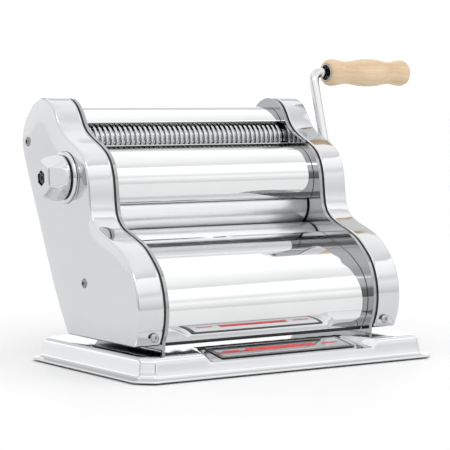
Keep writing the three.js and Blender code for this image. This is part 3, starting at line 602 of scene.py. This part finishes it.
# a thin black strip between each cover's rim and its plate: painted shade of the gap between them
for side, s in (("left", -1), ("right", 1)):
    outer, inner = inset(cover_outline, 0.9), inset(cover_outline, 2.6)
    n = len(outer)
    verts = [(s * x, p[0], p[1]) for x, ring in ((105.15, outer), (106.95, outer), (106.95, inner), (105.15, inner)) for p in ring]
    faces = [(k * n + i, k * n + (i + 1) % n, (k + 1) % 4 * n + (i + 1) % n, (k + 1) % 4 * n + i) for k in range(4) for i in range(n)]
    piece("cover_gap_painted_shade_" + side, verts, faces, M["rubber"], "frame", slot="rubber")


# ------------------------------------------------------------------ screws
def screw_head(name, along0, out, centre, r, h, mat, body, node, axis="x", stem=None, n=48):
    """A domed screw head with a hexagonal socket and its plain stem."""
    hexa = lambda t: r * 0.36 / max(math.cos(((t + math.pi / 6) % (math.pi / 3)) - math.pi / 6), 0.5)
    prof = [(along0 + out * (h - 1.3), 0.0), (along0 + out * (h - 1.3), hexa), (along0 + out * (h - 0.12), hexa)]
    prof += [(along0 + out * (h - 0.0), r * 0.46), (along0 + out * (h - 0.08), r * 0.6), (along0 + out * (h - 0.35), r * 0.8), (along0 + out * (h - 0.85), r * 0.95), (along0 + out * (h - 1.35), r), (along0 + out * 0.12, r), (along0, r - 0.12)]
    if stem:
        prof += [(along0, stem[0]), (along0 - out * stem[1], stem[0]), (along0 - out * stem[1], 0.0)]
    else:
        prof += [(along0, 0.0)]
    return revolve(name, prof, centre, mat, body, node, n=n, axis=axis, slot="chrome")


# the cover screws use the darkened screw steel, painted dark reflections of their dimples
for side, s in (("left", -1), ("right", 1)):
    for k, c in (("upper", SCREWS[s][0]), ("lower", SCREWS[s][1])):
        screw_head(f"cover_screw_visual_{k}_{side}", s * 131.1, s, c, 4.2, 1.75, M["screw"], "frame", f"cover_screw_{k}_{side}", stem=(1.7, 29.4))
    screw_head("front_screw_visual_" + side, -62.1, -1, (s * FSX, FSZ), 3.6, 1.95, M["steel"], "frame", "front_screw_" + side, axis="y", stem=(1.7, 12.2))

# ------------------------------------------------------------------ guards and trays
GX = 101.6


def hem(line, at_start, radius=1.5, turn=300, side=1):
    """Adds a small rolled hem to an end of a line."""
    line = np.array(line)
    if at_start:
        line = line[::-1]
    d = line[-1] - line[-2]
    d /= np.linalg.norm(d)
    nrm = np.array([-d[1], d[0]]) * side
    c = line[-1] + nrm * radius
    add = [c - nrm * radius * math.cos(math.radians(a)) + d * radius * math.sin(math.radians(a)) for a in range(20, turn + 1, 20)]
    line = np.vstack([line, add])
    return line[::-1] if at_start else line


top_line = arc((95.5, 187), 25.1, 149, 12, 60)
bent_sheet("top_guard_visual", top_line, 1.2, GX, M["guard"], "frame", "top_guard", slot="chrome")
mid_line = arc((52, 149), 29.8, 101, 212, 60)
bent_sheet("mid_guard_visual", mid_line, 1.2, GX, M["guard"], "frame", "mid_guard", slot="chrome")
low_ctrl = [[11, 103.6], [-1.8, 98.8], [-19.4, 91.6], [-32.5, 85.2]]
low_line = np.vstack([resample(np.array(low_ctrl), 1.5), arc((-19, 49), 37, 118, 221, 60)[1:]])
low_line = smooth_open(resample(low_line, 1.2), 12)
bent_sheet("lower_guard_visual", low_line, 1.2, GX, M["guard"], "frame", "lower_guard", slot="chrome")
# a dark strip along the lower guard's bottom edge: painted shade of the guard's underside
ly, lz = -19 + 36.4 * math.cos(math.radians(221)), 49 + 36.4 * math.sin(math.radians(221))
shade_strip = [(ly - 0.75, lz - 0.15), (ly + 0.55, lz - 0.75), (ly + 0.75, lz - 2.3), (ly + 0.15, lz - 2.6), (ly - 0.45, lz - 2.2)]
lv = [(x, a, b) for x in (-GX + 0.4, GX - 0.4) for a, b in shade_strip]
lf = [tuple(range(5)), tuple(range(9, 4, -1))] + [(i, i + 5, (i + 1) % 5 + 5, (i + 1) % 5) for i in range(5)]
piece("lower_guard_painted_shade_strip", lv, lf, M["rubber"], "frame", slot="rubber", bevel=0.15)
bent_sheet("rear_guard_visual", resample(np.array([[92.0, 100.5], [112.5, 143.5]]), 3.0), -1.2, GX, M["chrome"], "frame", "rear_guard", slot="chrome")
for nm, ln in (("upper_feed_tray", [[89.5, 163.2], [113.0, 154.6], [116.5, 152.0]]), ("sheet_chute", [[54.5, 93.5], [77.5, 81.3], [80.0, 78.2]]),
               ("lower_feed_tray", [[2.0, 57.0], [14.0, 61.0], [62.0, 57.5], [65.5, 55.0]])):
    bent_sheet(nm + "_visual", smooth_open(resample(np.array(ln), 0.8), 3), -1.2, GX, M["chrome"], "frame", nm, slot="chrome")

# ------------------------------------------------------------------ combs
FP, FN, WP, WN = 4.97, 40, 14.9, 14


def comb(name, p0, dirv, root, back, pitch, first, count, t, width, node):
    d = np.array(dirv) / np.linalg.norm(dirv)
    up = np.array([-d[1], d[0]]) * -1.0
    nx = np.cross(np.array([1.0, 0, 0]), np.array([0, d[0], d[1]]))
    outline = [(-GX, back), (-GX, root)]
    for k in range(count):
        x = first + k * pitch
        w = width / 2
        for a, s0 in ((-w, root), (-w * 0.92, 1.0), (-w * 0.6, 0.25), (0.0, 0.0), (w * 0.6, 0.25), (w * 0.92, 1.0), (w, root)):
            if abs(x + a) < GX - 0.2:
                outline.append((x + a, s0))
    outline += [(GX, root), (GX, back)]
    outline = np.array(outline)
    pts, tri = fill(outline)
    n = len(pts)
    lo = [(p[0], p0[0] + d[0] * p[1], p0[1] + d[1] * p[1]) for p in pts]
    verts = lo + [tuple(np.array(v) + nx * t) for v in lo]
    faces = list(tri) + [tuple(i + n for i in reversed(f)) for f in tri] + [(i, (i + 1) % n, n + (i + 1) % n, n + i) for i in range(n)]
    return piece(name, verts, faces, M["cutter"], "frame", node, slot="steel", bevel=0.15)


comb("upper_comb_visual", (70.4, 178.7), (-0.97, 0.24), 4.6, 10, FP, -(FN - 1) / 2 * FP + FP / 2, FN - 1, 1.0, 1.75, "upper_comb")
comb("upper_comb_rear_visual", (66.0, 170.8), (-0.857, 0.515), 4.4, 9.0, FP, -(FN - 1) / 2 * FP, FN, 1.0, 1.75, "upper_comb_rear")
comb("lower_comb_visual", (-15.4, 48.4), (-0.906, -0.423), 6.2, 14, WP, -(WN - 1) / 2 * WP, WN, 1.0, 5.6, "lower_comb")

# ------------------------------------------------------------------ rollers
for nm, c, body in (("upper_roller", A, "upper_roller_body"), ("lower_roller", B, "lower_roller_body")):
    prof = [(-109.6, 0), (-109.6, 5.4), (-109.0, 6.0), (-101, 6.0), (-101, 18.3), (-100.7, 19.0), (-100.0, 19.4), (-60, 19.4), (0, 19.4), (60, 19.4), (100.0, 19.4), (100.7, 19.0), (101, 18.3), (101, 6.0), (118.9, 6.0), (119.5, 5.4), (119.5, 0)]
    revolve(nm + "_visual", prof, c, M["roller"], body, nm, n=128, slot="chrome")


def cutter(name, c, pitch, count, land, groove, shifted, body, node, right, stub, width):
    first = -(count - 1) / 2 * pitch
    w = width / 2
    prof = [(-117.0, 0), (-117.0, 4.6), (-116.6, 5.0), (-101, 5.0)]
    centres = [first + k * pitch for k in range(count)]
    if shifted:
        centres = [first + (k + 0.5) * pitch for k in range(count - 1)]
        prof += [(-101, land - 0.3), (-100.7, land), (first - pitch / 2 + w + 0.0 if first - pitch / 2 + w > -100.5 else -100.0, land)]
        prof += [(prof[-1][0] + 0.05, groove)]
    else:
        prof += [(-101, groove)]
    for x in centres:
        prof += [(x - w - 0.02, groove), (x - w, groove + 0.3), (x - w, land - 1.0), (x - w * 0.9, land - 0.42), (x - w * 0.68, land - 0.12), (x - w * 0.35, land), (x + w * 0.35, land),
                 (x + w * 0.68, land - 0.12), (x + w * 0.9, land - 0.42), (x + w, land - 1.0), (x + w, groove + 0.3), (x + w + 0.02, groove)]
    if shifted:
        last = first + (count - 1) * pitch + pitch / 2 - w
        e = last if last < 100.5 else 100.0
        prof += [(e - 0.05, groove), (e, land), (100.7, land), (101, land - 0.3)]
    else:
        prof += [(101, groove)]
    prof += [(101, 5.0), (right - 0.4, 5.0)]
    if stub:
        hexa = lambda t: 4.0 / max(math.cos(((t) % (math.pi / 3)) - math.pi / 6), 0.5)
        prof += [(right, 4.7), (right + 0.1, hexa), (stub - 0.5, hexa), (stub, 3.6), (stub, 0)]
    else:
        prof += [(right, 4.6), (right, 0)]
    revolve(name, prof, c, M["cutter"], body, node, n=96, slot="chrome", angle=30)


cutter("fine_cutter_front_visual", U1, FP, FN, 14.5, 11.2, False, "fine_cutter_front_body", "fine_cutter_front", 120, 130, 2.7)
cutter("fine_cutter_rear_visual", U2, FP, FN, 14.5, 11.2, True, "fine_cutter_rear_body", "fine_cutter_rear", 107.5, 0, 2.7)
cutter("wide_cutter_upper_visual", L1, WP, WN, 13.5, 10.2, False, "wide_cutter_upper_body", "wide_cutter_upper", 120, 130, 7.0)
cutter("wide_cutter_lower_visual", L2, WP, WN, 13.5, 10.2, True, "wide_cutter_lower_body", "wide_cutter_lower", 107.5, 0, 7.0)

for side, s in (("left", -1), ("right", 1)):
    x0, x1 = sorted((s * 101.6, s * 105.2))
    revolve("upper_roller_bush_visual_" + side, [(x0, 6.3), (x0, 7.8), (x0 + 0.2, 8.0), (x1 - 0.2, 8.0), (x1, 7.8), (x1, 6.3)], A, M["brass"], "frame", "upper_roller_bush_" + side, n=64, slot="brass")
for i, c in enumerate(TIES):
    prof = [(-107.2, 0), (-107.2, 2.6), (-106.9, 3.8), (-106.2, 4.5), (-105.3, 4.6), (-105.3, 2.5), (-101.7, 2.5), (-101.7, 3.7), (-101.4, 4.0)]
    prof += [(-x, r) for x, r in reversed(prof)]
    revolve(f"tie_rod_visual_{i + 1}", prof, c, M["steel"], "frame", f"tie_rod_{i + 1}", n=48, slot="steel")

# ------------------------------------------------------------------ thickness knob
def soft_min(a, b, k):
    h = max(0.0, min(1.0, 0.5 + 0.5 * (b - a) / k))
    return b * (1 - h) + a * h - k * h * (1 - h)


PH = math.radians(25)


def hex_r(flat, t, phase=PH):
    w = (t - phase) % (math.pi / 3) - math.pi / 6
    return flat / math.cos(w)


body_x = [135.9, 136.0, 136.4, 137.2, 139.0, 141.0, 143.0, 145.5, 148.0, 150.5, 152.2, 153.2, 153.6]
body_r = [18.5, 18.9, 19.25, 19.35, 19.3, 19.1, 18.75, 18.1, 17.3, 16.5, 15.9, 15.4, 14.9]
xs = np.concatenate([[135.9, 136.0, 136.2, 136.5, 137.0], np.linspace(138.0, 151.5, 46), [152.2, 152.8, 153.2, 153.45, 153.6]])


def knob_ring(x):
    r0 = float(np.interp(x, body_x, body_r))
    u = (x - 136.0) / 17.6
    flat = 20.9 - 7.9 * u ** 0.85 if u > 0 else 21.0  # half the hexagon's width across flats, flaring to the skirt
    edge = 0.0 if x < 153.0 else (x - 153.0) * 0.9
    return lambda t: soft_min(r0, hex_r(flat - edge, t), 0.35)


prof = [(-x, knob_ring(x)) for x in xs]
pocket = lambda t: hex_r(5.7, t)
prof = [(-135.9, 4.3)] + prof + [(-153.6, lambda t: hex_r(6.1, t)), (-153.3, pocket), (-147.6, pocket), (-147.6, 2.7), (-142.4, 2.7), (-142.4, 4.3)]
revolve("regulator_knob_visual", prof, D, M["chrome"], "regulator", "regulator_knob", n=240, slot="chrome", angle=28)
# black knob screw: partly its own black finish, partly painted shade of the pocket it sits in
revolve("knob_screw_visual", [(-151.6, 0), (-151.6, 1.6), (-152.6, 1.9), (-152.9, 2.6), (-152.75, 4.0), (-152.0, 4.9), (-151.0, 5.0), (-150.8, 4.8), (-150.8, 0)], D, M["black"], "regulator", "knob_screw", n=48, slot="black")
revolve("knob_collar_visual", [(-132.0, 6.5), (-132.0, 22.0), (-132.6, 22.0), (-133.3, 21.7), (-133.9, 21.2), (-134.25, 20.5), (-134.4, 19.6), (-134.4, 6.5)], D, M["chrome"], "frame", "knob_collar", n=120, slot="chrome")
# black washer ring between collar and knob: painted shade of the gap between them
revolve("knob_washer_visual", [(-134.7, 5.5), (-134.7, 18.1), (-134.85, 18.3), (-135.45, 18.3), (-135.6, 18.1), (-135.6, 5.5)], D, M["black"], "regulator", "knob_washer", n=96, slot="black")
revolve("regulator_shaft_visual", [(-150.5, 0), (-150.5, 2.2), (-150.3, 2.4), (-142, 2.4), (-142, 3.8), (-141.8, 4), (109.2, 4), (109.4, 3.8), (109.4, 2.5), (113.8, 2.5), (114, 2.3), (114, 0)], D, M["steel"], "regulator", "regulator_shaft", n=48, slot="steel")

# ------------------------------------------------------------------ crank
GY, GZ, G0, G1, AX = 78.3, 244.5, 157.0, 251.0, 141.5
q = Vector((0, GY - D[0], GZ - D[1])).normalized()
R = 9.5
top = Vector((AX, GY, GZ))
e0 = top - q * R
e1 = top + Vector((R, 0, 0))
cc = e0 + Vector((R, 0, 0))
path = [(Vector((AX, D[0], D[1])) + q * t, 4.5) for t in np.linspace(6.0, (e0 - Vector((AX, D[0], D[1]))).length, 24)]
for k in range(1, 17):
    a = math.radians(90 * k / 16)
    path.append((cc - Vector((R, 0, 0)) * math.cos(a) + q * R * math.sin(a), 4.5))
path += [(e1 + Vector((1.5, 0, 0)), 4.5), (e1 + Vector((2.4, 0, 0)), 4.3), (e1 + Vector((2.6, 0, 0)), 3.6), (Vector((200.0, GY, GZ)), 3.6), (Vector((G1 - 6.6, GY, GZ)), 3.6), (Vector((G1 - 6.0, GY, GZ)), 3.0)]
verts, faces = [], []
nrm = Vector((1, 0, 0)).cross(q).normalized()
NS = 40
for i, (p, r) in enumerate(path):
    a = path[max(0, i - 1)][0]
    b = path[min(len(path) - 1, i + 1)][0]
    t = (b - a).normalized()
    v = t.cross(nrm).normalized()
    for k in range(NS):
        w = k / NS * 2 * math.pi
        # slightly squared section, as on a pressed bar
        sq = 1.0 - 0.045 * (1 - abs(math.cos(2 * w)))
        verts.append(tuple(p + (nrm * math.cos(w) + v * math.sin(w)) * r * sq))
for i in range(len(path) - 1):
    faces += [(i * NS + k, i * NS + (k + 1) % NS, (i + 1) * NS + (k + 1) % NS, (i + 1) * NS + k) for k in range(NS)]
faces += [tuple(range(NS)), tuple(range((len(path) - 1) * NS, len(path) * NS))]
piece("crank_arm_visual", verts, faces, M["chrome"], "crank", "crank_arm", slot="chrome", angle=40)
sock = lambda t: 5.05 / max(math.cos((t % (math.pi / 3)) - math.pi / 6), 0.5)
hub = [(147.0, 0), (147.0, sock), (134.6, sock), (134.6, 9.1), (135.0, 9.5), (147.2, 9.5), (147.9, 9.3), (148.3, 8.8), (148.4, 8.0), (148.4, 0)]
revolve("crank_hub", hub, D, M["chrome"], "crank", n=72, slot="chrome")
hexs = lambda t: 4.67 / max(math.cos((t % (math.pi / 3)) - math.pi / 6), 0.5)
revolve("drive_shaft_visual", [(114.6, 0), (114.6, 2.8), (110.2, 2.8), (110.2, 4.8), (110.4, 5.0), (134.0, 5.0), (134.1, hexs), (146.2, hexs), (146.6, 4.2), (146.6, 0)], D, M["steel"], "crank", "drive_shaft", n=72, slot="steel", angle=30)
revolve("drive_bush_visual", [(129.6, 5.4), (129.6, 7.8), (129.8, 8.0), (132.0, 8.0), (132.0, 10.2), (132.2, 10.4), (133.1, 10.4), (133.4, 10.1), (133.4, 5.4)], D, M["brass"], "frame", "drive_bush", n=72, slot="brass")

grip_pts = np.array([(G1, 0), (G1 - 0.1, 3.0), (G1 - 0.6, 6.6), (G1 - 1.8, 9.2), (G1 - 3.6, 11.0), (G1 - 6.5, 12.1), (G1 - 10, 12.05), (G1 - 15, 11.3), (G1 - 20, 10.5), (G1 - 25, 10.55), (G1 - 31, 11.4), (G1 - 38, 12.5), (G1 - 45, 12.85),
                     (G0 + 43, 12.8), (G0 + 36, 12.2), (G0 + 29, 11.1), (G0 + 23, 10.42), (G0 + 18, 10.7), (G0 + 12, 11.7), (G0 + 7, 12.4), (G0 + 3.4, 12.2), (G0 + 1.4, 11.4), (G0 + 0.3, 10.2), (G0, 9.0)])
fine_grip = catmull(grip_pts, 160)
fine_grip[:, 1] = np.minimum(fine_grip[:, 1], 12.78)
fine_grip[0] = (G1, 0)
prof = [(float(x), max(0.0, float(r))) for x, r in fine_grip] + [(G0, 8.3), (G0 + 9.4, 8.3), (G0 + 9.4, 4.0), (G1 - 4.8, 4.0), (G1 - 4.8, 0)]
revolve("crank_grip_visual", prof, (GY, GZ), M["wood"], "grip", "crank_grip", n=128, slot="beech", angle=40)
revolve("grip_ferrule_visual", [(G0 - 0.6, 7.1), (G0 - 0.6, 7.8), (G0 - 0.3, 8.0), (G0 + 9.0, 8.0), (G0 + 9.0, 4.0), (G0 + 7.6, 4.0), (G0 + 7.6, 7.0), (G0 - 0.3, 7.0)], (GY, GZ), M["steel"], "grip", "grip_ferrule", n=72, slot="steel")

# ------------------------------------------------------------------ base tray
TX, TY, TZ0, TZ1, LIP, CC = 147.0, 96.5, 1.5, 19.8, 6.4, 12.5
RX, RHALF, RBACK, RFRONT, RDEP = 1.5, 80.0, -51.0, -88.0, 7.0


def tray_outline(hx, hy, c, r, step=2.2, n=7):
    """A rectangle with chamfered corners, each of the eight corners rounded by r."""
    q = [(hx, -hy + c), (hx, hy - c), (hx - c, hy), (-hx + c, hy), (-hx, hy - c), (-hx, -hy + c), (-hx + c, -hy), (hx - c, -hy)]
    out = []
    for i in range(8):
        cor = round_corner(q[i - 1], q[i], q[(i + 1) % 8], r, n)
        nxt = round_corner(q[i], q[(i + 1) % 8], q[(i + 2) % 8], r, n)
        out += cor
        length = np.linalg.norm(np.array(nxt[0]) - cor[-1])
        m = {0: 60, 1: 5, 2: 70, 3: 5, 4: 60, 5: 5, 6: 170, 7: 5}[i]
        out += [cor[-1] * (1 - k / m) + nxt[0] * (k / m) for k in range(1, m)]
    return np.array(out)


def smin(a, b, k):
    h = np.clip(0.5 + 0.5 * (b - a) / k, 0, 1)
    return b * (1 - h) + a * h - k * h * (1 - h)


def recess_height(x, y):
    """The recess's surface: a floor falling to the front, and 45 degree walls at both ends and a soft step at the back."""
    fall = (RBACK - y) / (RBACK - RFRONT)
    floor = TZ1 - RDEP * np.clip(fall, -1, 2.0)
    half = RHALF - 9 + np.clip((RBACK - y) * 0.25, 0, 9)
    wall = floor + np.maximum(0.0, np.abs(x - RX) - half)
    behind = np.where(y > RBACK, TZ1 + (y - RBACK) * 1.0, -1e9)
    return np.maximum(wall, behind)


rings = [(0.0, TZ0, 0), (0.0, TZ0 + 0.9, 0), (0.35, TZ0 + 1.4, 0), (1.0, TZ0 + 1.65, 0), (3.6, TZ0 + 2.0, 0), (5.3, TZ0 + 2.5, 0), (6.3, TZ0 + 3.5, 0), (6.75, TZ0 + 5.0, 0), (7.3, TZ0 + 8.5, 0), (7.85, TZ0 + 12.0, 0),
         (8.15, TZ0 + 14.4, 0), (8.7, TZ0 + 16.2, 0), (9.5, TZ0 + 17.3, 0), (10.6, TZ0 + 17.95, 0), (12.0, TZ0 + 18.25, 0), (13.2, TZ1, 0)]
verts, faces = [], []
nring = None
for off, z, _ in rings:
    o = tray_outline(TX - off, TY - off, CC - off * 0.35, max(3.0, 4.5 - off * 0.1))
    nring = len(o)
    zz = smin(np.full(nring, z), recess_height(o[:, 0], o[:, 1]), 1.0) if z > TZ0 + 2.2 else np.full(nring, z)
    zz = np.minimum(zz, TZ1)
    zz = np.maximum(zz, TZ0 + (2.2 if z > TZ0 + 2.2 else 0.0))
    verts += [(p[0], p[1], h) for p, h in zip(o, zz)]
for k in range(len(rings) - 1):
    faces += [(k * nring + i, k * nring + (i + 1) % nring, (k + 1) * nring + (i + 1) % nring, (k + 1) * nring + i) for i in range(nring)]
deck = tray_outline(TX - 13.2, TY - 13.2, CC - 13.2 * 0.35, max(3.0, 4.5 - 1.32))
pts, tri = fill(deck, (), 2.4)
zz = np.minimum(smin(np.full(len(pts), TZ1), recess_height(pts[:, 0], pts[:, 1]), 1.0), TZ1)
base = len(verts)
verts += [(p[0], p[1], h) for p, h in zip(pts, zz)]
faces += [tuple(base + i for i in f) for f in tri]
tray = piece("base_tray_visual", verts, faces, M["tray"], "frame", "base_tray", slot="chrome", angle=60, solidify=1.1, offset=-1.0)
bm = bmesh.new()
bm.from_mesh(tray.data)
bmesh.ops.recalc_face_normals(bm, faces=bm.faces)
up = max(bm.faces, key=lambda f: f.calc_center_median().z)
if up.normal.z < 0:
    bmesh.ops.reverse_faces(bm, faces=bm.faces)
bm.to_mesh(tray.data)
bm.free()

# closed bottom plate, feet, name panel
bp = tray_outline(109, 80, 6, 2.0, n=4)
pts, tri = fill(bp)
n = len(pts)
verts = [(p[0], p[1], 1.5) for p in pts] + [(p[0], p[1], 2.7) for p in pts]
faces = list(tri) + [tuple(i + n for i in reversed(f)) for f in tri] + [(i, (i + 1) % n, n + (i + 1) % n, n + i) for i in range(n)]
piece("base_bottom_visual", verts, faces, M["steel"], "frame", "base_bottom", slot="steel", bevel=0.3)
for nm, x, y in (("foot_front_left", -119, -70), ("foot_front_right", 119, -70), ("foot_rear_left", -119, 70), ("foot_rear_right", 119, 70)):
    revolve(nm + "_visual", [(0, 0), (0, 3.0), (0, 6.6), (0.25, 7.3), (1.0, 7.85), (3.2, 8.0), (4.0, 7.6), (4.4, 6.2), (4.8, 5.2), (8.0, 5.0), (16.6, 5.0), (17.0, 4.6), (17.0, 0)], (x, y), M["rubber"], "frame", nm, n=48, axis="z", slot="rubber")

slope = math.atan2(RDEP, RBACK - RFRONT)
PC = (RX, -69.5, TZ1 - RDEP * 0.5 + 0.35)


def on_panel(x, y, h):
    return (PC[0] + x, PC[1] + y * math.cos(slope) - h * math.sin(slope), PC[2] + y * math.sin(slope) + h * math.cos(slope))


def panel_slab(name, hx, hy, cx, cy, h0, h1, r, mat, replaced=(), slotname="panel", bevel=0.0):
    q = [(cx + hx, cy - hy), (cx + hx, cy + hy), (cx - hx, cy + hy), (cx - hx, cy - hy)]
    out = []
    for i in range(4):
        out += round_corner(q[i - 1], q[i], q[(i + 1) % 4], r, 6)
    pts, tri = fill(np.array(out))
    n = len(pts)
    v = [on_panel(p[0], p[1], h0) for p in pts] + [on_panel(p[0], p[1], h1) for p in pts]
    f = list(tri) + [tuple(i + n for i in reversed(t)) for t in tri] + [(i, (i + 1) % n, n + (i + 1) % n, n + i) for i in range(n)]
    return piece(name, v, f, mat, "frame", *replaced, slot=slotname, bevel=bevel)


panel_slab("name_panel_visual", 66, 13.5, 0, 0, 0.0, 0.6, 1.5, M["panel"], ("name_panel",), bevel=0.15)
panel_slab("panel_field", 62.5, 10.8, 0, 0, 0.62, 0.72, 1.0, M["chrome"], slotname="panel")
panel_slab("panel_bar_centre", 34, 3.4, 0, 0, 0.74, 0.84, 1.2, M["red"], slotname="panel")
panel_slab("panel_bar_left", 8, 1.3, -49, 0, 0.74, 0.84, 0.6, M["red"], slotname="panel")
panel_slab("panel_bar_right", 8, 1.3, 49, 0, 0.74, 0.84, 0.6, M["red"], slotname="panel")

# ------------------------------------------------------------------ CAD nodes that stay: gears, slides, cams
SLOT_MAT = {"steel": M["steel"], "chrome": M["chrome"], "cover_steel": M["cover"], "brass": M["brass"], "rubber": M["rubber"], "beech": M["wood"], "panel": M["panel"], "black": M["black"]}
slots = {s["node"]: s["material_slot"] for s in frame["record"]["subparts"]}
for name, ob in NODES.items():
    ob.data.materials.clear()
    ob.data.materials.append(SLOT_MAT[slots[name]])
    if not ob.hide_render:
        m = ob.modifiers.new("edges", "BEVEL")
        m.width, m.segments, m.limit_method, m.angle_limit = 0.2 * MM, 2, "ANGLE", math.radians(40)

# ------------------------------------------------------------------ studio
def stage_mesh(name, verts, faces, mat, smooth=True):
    me = bpy.data.meshes.new(name)
    me.from_pydata(verts, [], faces)
    for p in me.polygons:
        p.use_smooth = smooth
    ob = bpy.data.objects.new(name, me)
    me.materials.append(mat)
    scene.collection.objects.link(ob)
    return ob


def plain(name, color, rough):
    g = Graph(name)
    n = g.noise(g.mapped((1, 1, 1)), 3.0, 2.0, 0.5)
    g.set(Base_Color=g.ramp(n, [(0.3, tuple(c * 0.985 for c in color)), (0.7, color)]), Roughness=rough)
    return g.mat


floor_mat = plain("studio_floor", (0.86, 0.86, 0.86), 0.6)
verts, faces, NB = [(0, 0, 0)], [], 64
radii = [0.4, 1.0, 2.5, 6.0, 15.0, 40.0]
for r in radii:
    verts += [(r * math.cos(i / NB * 2 * math.pi), r * math.sin(i / NB * 2 * math.pi), 0) for i in range(NB)]
faces += [(0, 1 + i, 1 + (i + 1) % NB) for i in range(NB)]
for k in range(len(radii) - 1):
    o = 1 + k * NB
    faces += [(o + i, o + NB + i, o + NB + (i + 1) % NB, o + (i + 1) % NB) for i in range(NB)]
stage_mesh("studio_floor", verts, faces, floor_mat)

# A pale studio all round: soft boxes at the front and left, and a greyer ceiling at the back.
world = bpy.data.worlds.new("studio_world")
scene.world = world
world.use_nodes = True
wt = world.node_tree
bg = wt.nodes["Background"]
LEVEL = 1.6


def wnode(kind, **props):
    n = wt.nodes.new(kind)
    for k, v in props.items():
        setattr(n, k, v)
    return n


def wramp(fac, stops):
    r = wnode("ShaderNodeValToRGB")
    el = r.color_ramp.elements
    while len(el) < len(stops):
        el.new(0.5)
    for e, (p, v) in zip(el, stops):
        e.position = p
        e.color = (v / LEVEL, v / LEVEL, v / LEVEL * 1.0, 1.0)
    wt.links.new(fac, r.inputs["Fac"])
    return r.outputs["Color"]


def wmap(value, a, b, c, d):
    m = wnode("ShaderNodeMapRange", interpolation_type="SMOOTHSTEP")
    wt.links.new(value, m.inputs["Value"])
    for k, v in zip(("From Min", "From Max", "To Min", "To Max"), (a, b, c, d)):
        m.inputs[k].default_value = v
    return m.outputs["Result"]


sep = wnode("ShaderNodeSeparateXYZ")
coord = wnode("ShaderNodeTexCoord").outputs["Generated"]
wt.links.new(coord, sep.inputs["Vector"])
deg = lambda e: math.sin(math.radians(e))
front = wramp(sep.outputs["Z"], [(0.0, 0.8), (deg(6), 0.98), (deg(14), 1.22), (deg(19), 1.0), (deg(25), 1.3), (deg(42), 1.5), (deg(45), 0.95), (deg(60), 1.25), (1.0, 1.05)])
back = wramp(sep.outputs["Z"], [(0.0, 1.12), (deg(9), 1.2), (deg(12), 1.45), (deg(17), 1.45), (deg(20), 0.92), (deg(30), 0.8), (deg(40), 0.85), (deg(43), 1.3), (deg(56), 1.3), (1.0, 1.1)])
mix = wnode("ShaderNodeMix", data_type="RGBA")
wt.links.new(wmap(sep.outputs["Y"], -0.15, 0.15, 0.0, 1.0), mix.inputs["Factor"])
wt.links.new(front, mix.inputs["A"])
wt.links.new(back, mix.inputs["B"])


def patch(colour, direction, inner, outer, level):
    """Multiplies the light by level inside a cone round a fixed world direction, with a soft edge."""
    dot = wnode("ShaderNodeVectorMath", operation="DOT_PRODUCT")
    wt.links.new(coord, dot.inputs[0])
    v = Vector(direction).normalized()
    dot.inputs[1].default_value = v
    fac = wmap(dot.outputs["Value"], math.cos(math.radians(outer)), math.cos(math.radians(inner)), 1.0, level)
    comb3 = wnode("ShaderNodeCombineColor")
    for k in ("Red", "Green", "Blue"):
        wt.links.new(fac, comb3.inputs[k])
    mul = wnode("ShaderNodeMix", data_type="RGBA", blend_type="MULTIPLY")
    mul.inputs["Factor"].default_value = 1.0
    wt.links.new(colour, mul.inputs["A"])
    wt.links.new(comb3.outputs["Color"], mul.inputs["B"])
    return mul.outputs["Result"]


out = patch(mix.outputs["Result"], (-0.62, -0.78, 0.12), 8, 16, 0.35)
out = patch(out, (-1.0, -0.05, 0.25), 10, 30, 0.72)
out = patch(out, (0.95, -0.1, 0.2), 6, 18, 0.7)
wt.links.new(out, bg.inputs["Color"])
bg.inputs["Strength"].default_value = LEVEL


def area(name, pos, target, size, size_y, power, color=(1, 1, 1)):
    d = bpy.data.lights.new(name, "AREA")
    d.shape, d.size, d.size_y, d.energy, d.color = "RECTANGLE", size, size_y, power, color
    o = bpy.data.objects.new(name, d)
    scene.collection.objects.link(o)
    o.location = pos
    o.rotation_mode = "QUATERNION"
    o.rotation_quaternion = (Vector(target) - Vector(pos)).to_track_quat("-Z", "Y")
    return o


area("key_soft", (-1.3, -1.6, 2.4), (0, 0, 0.1), 0.9, 0.9, 8)
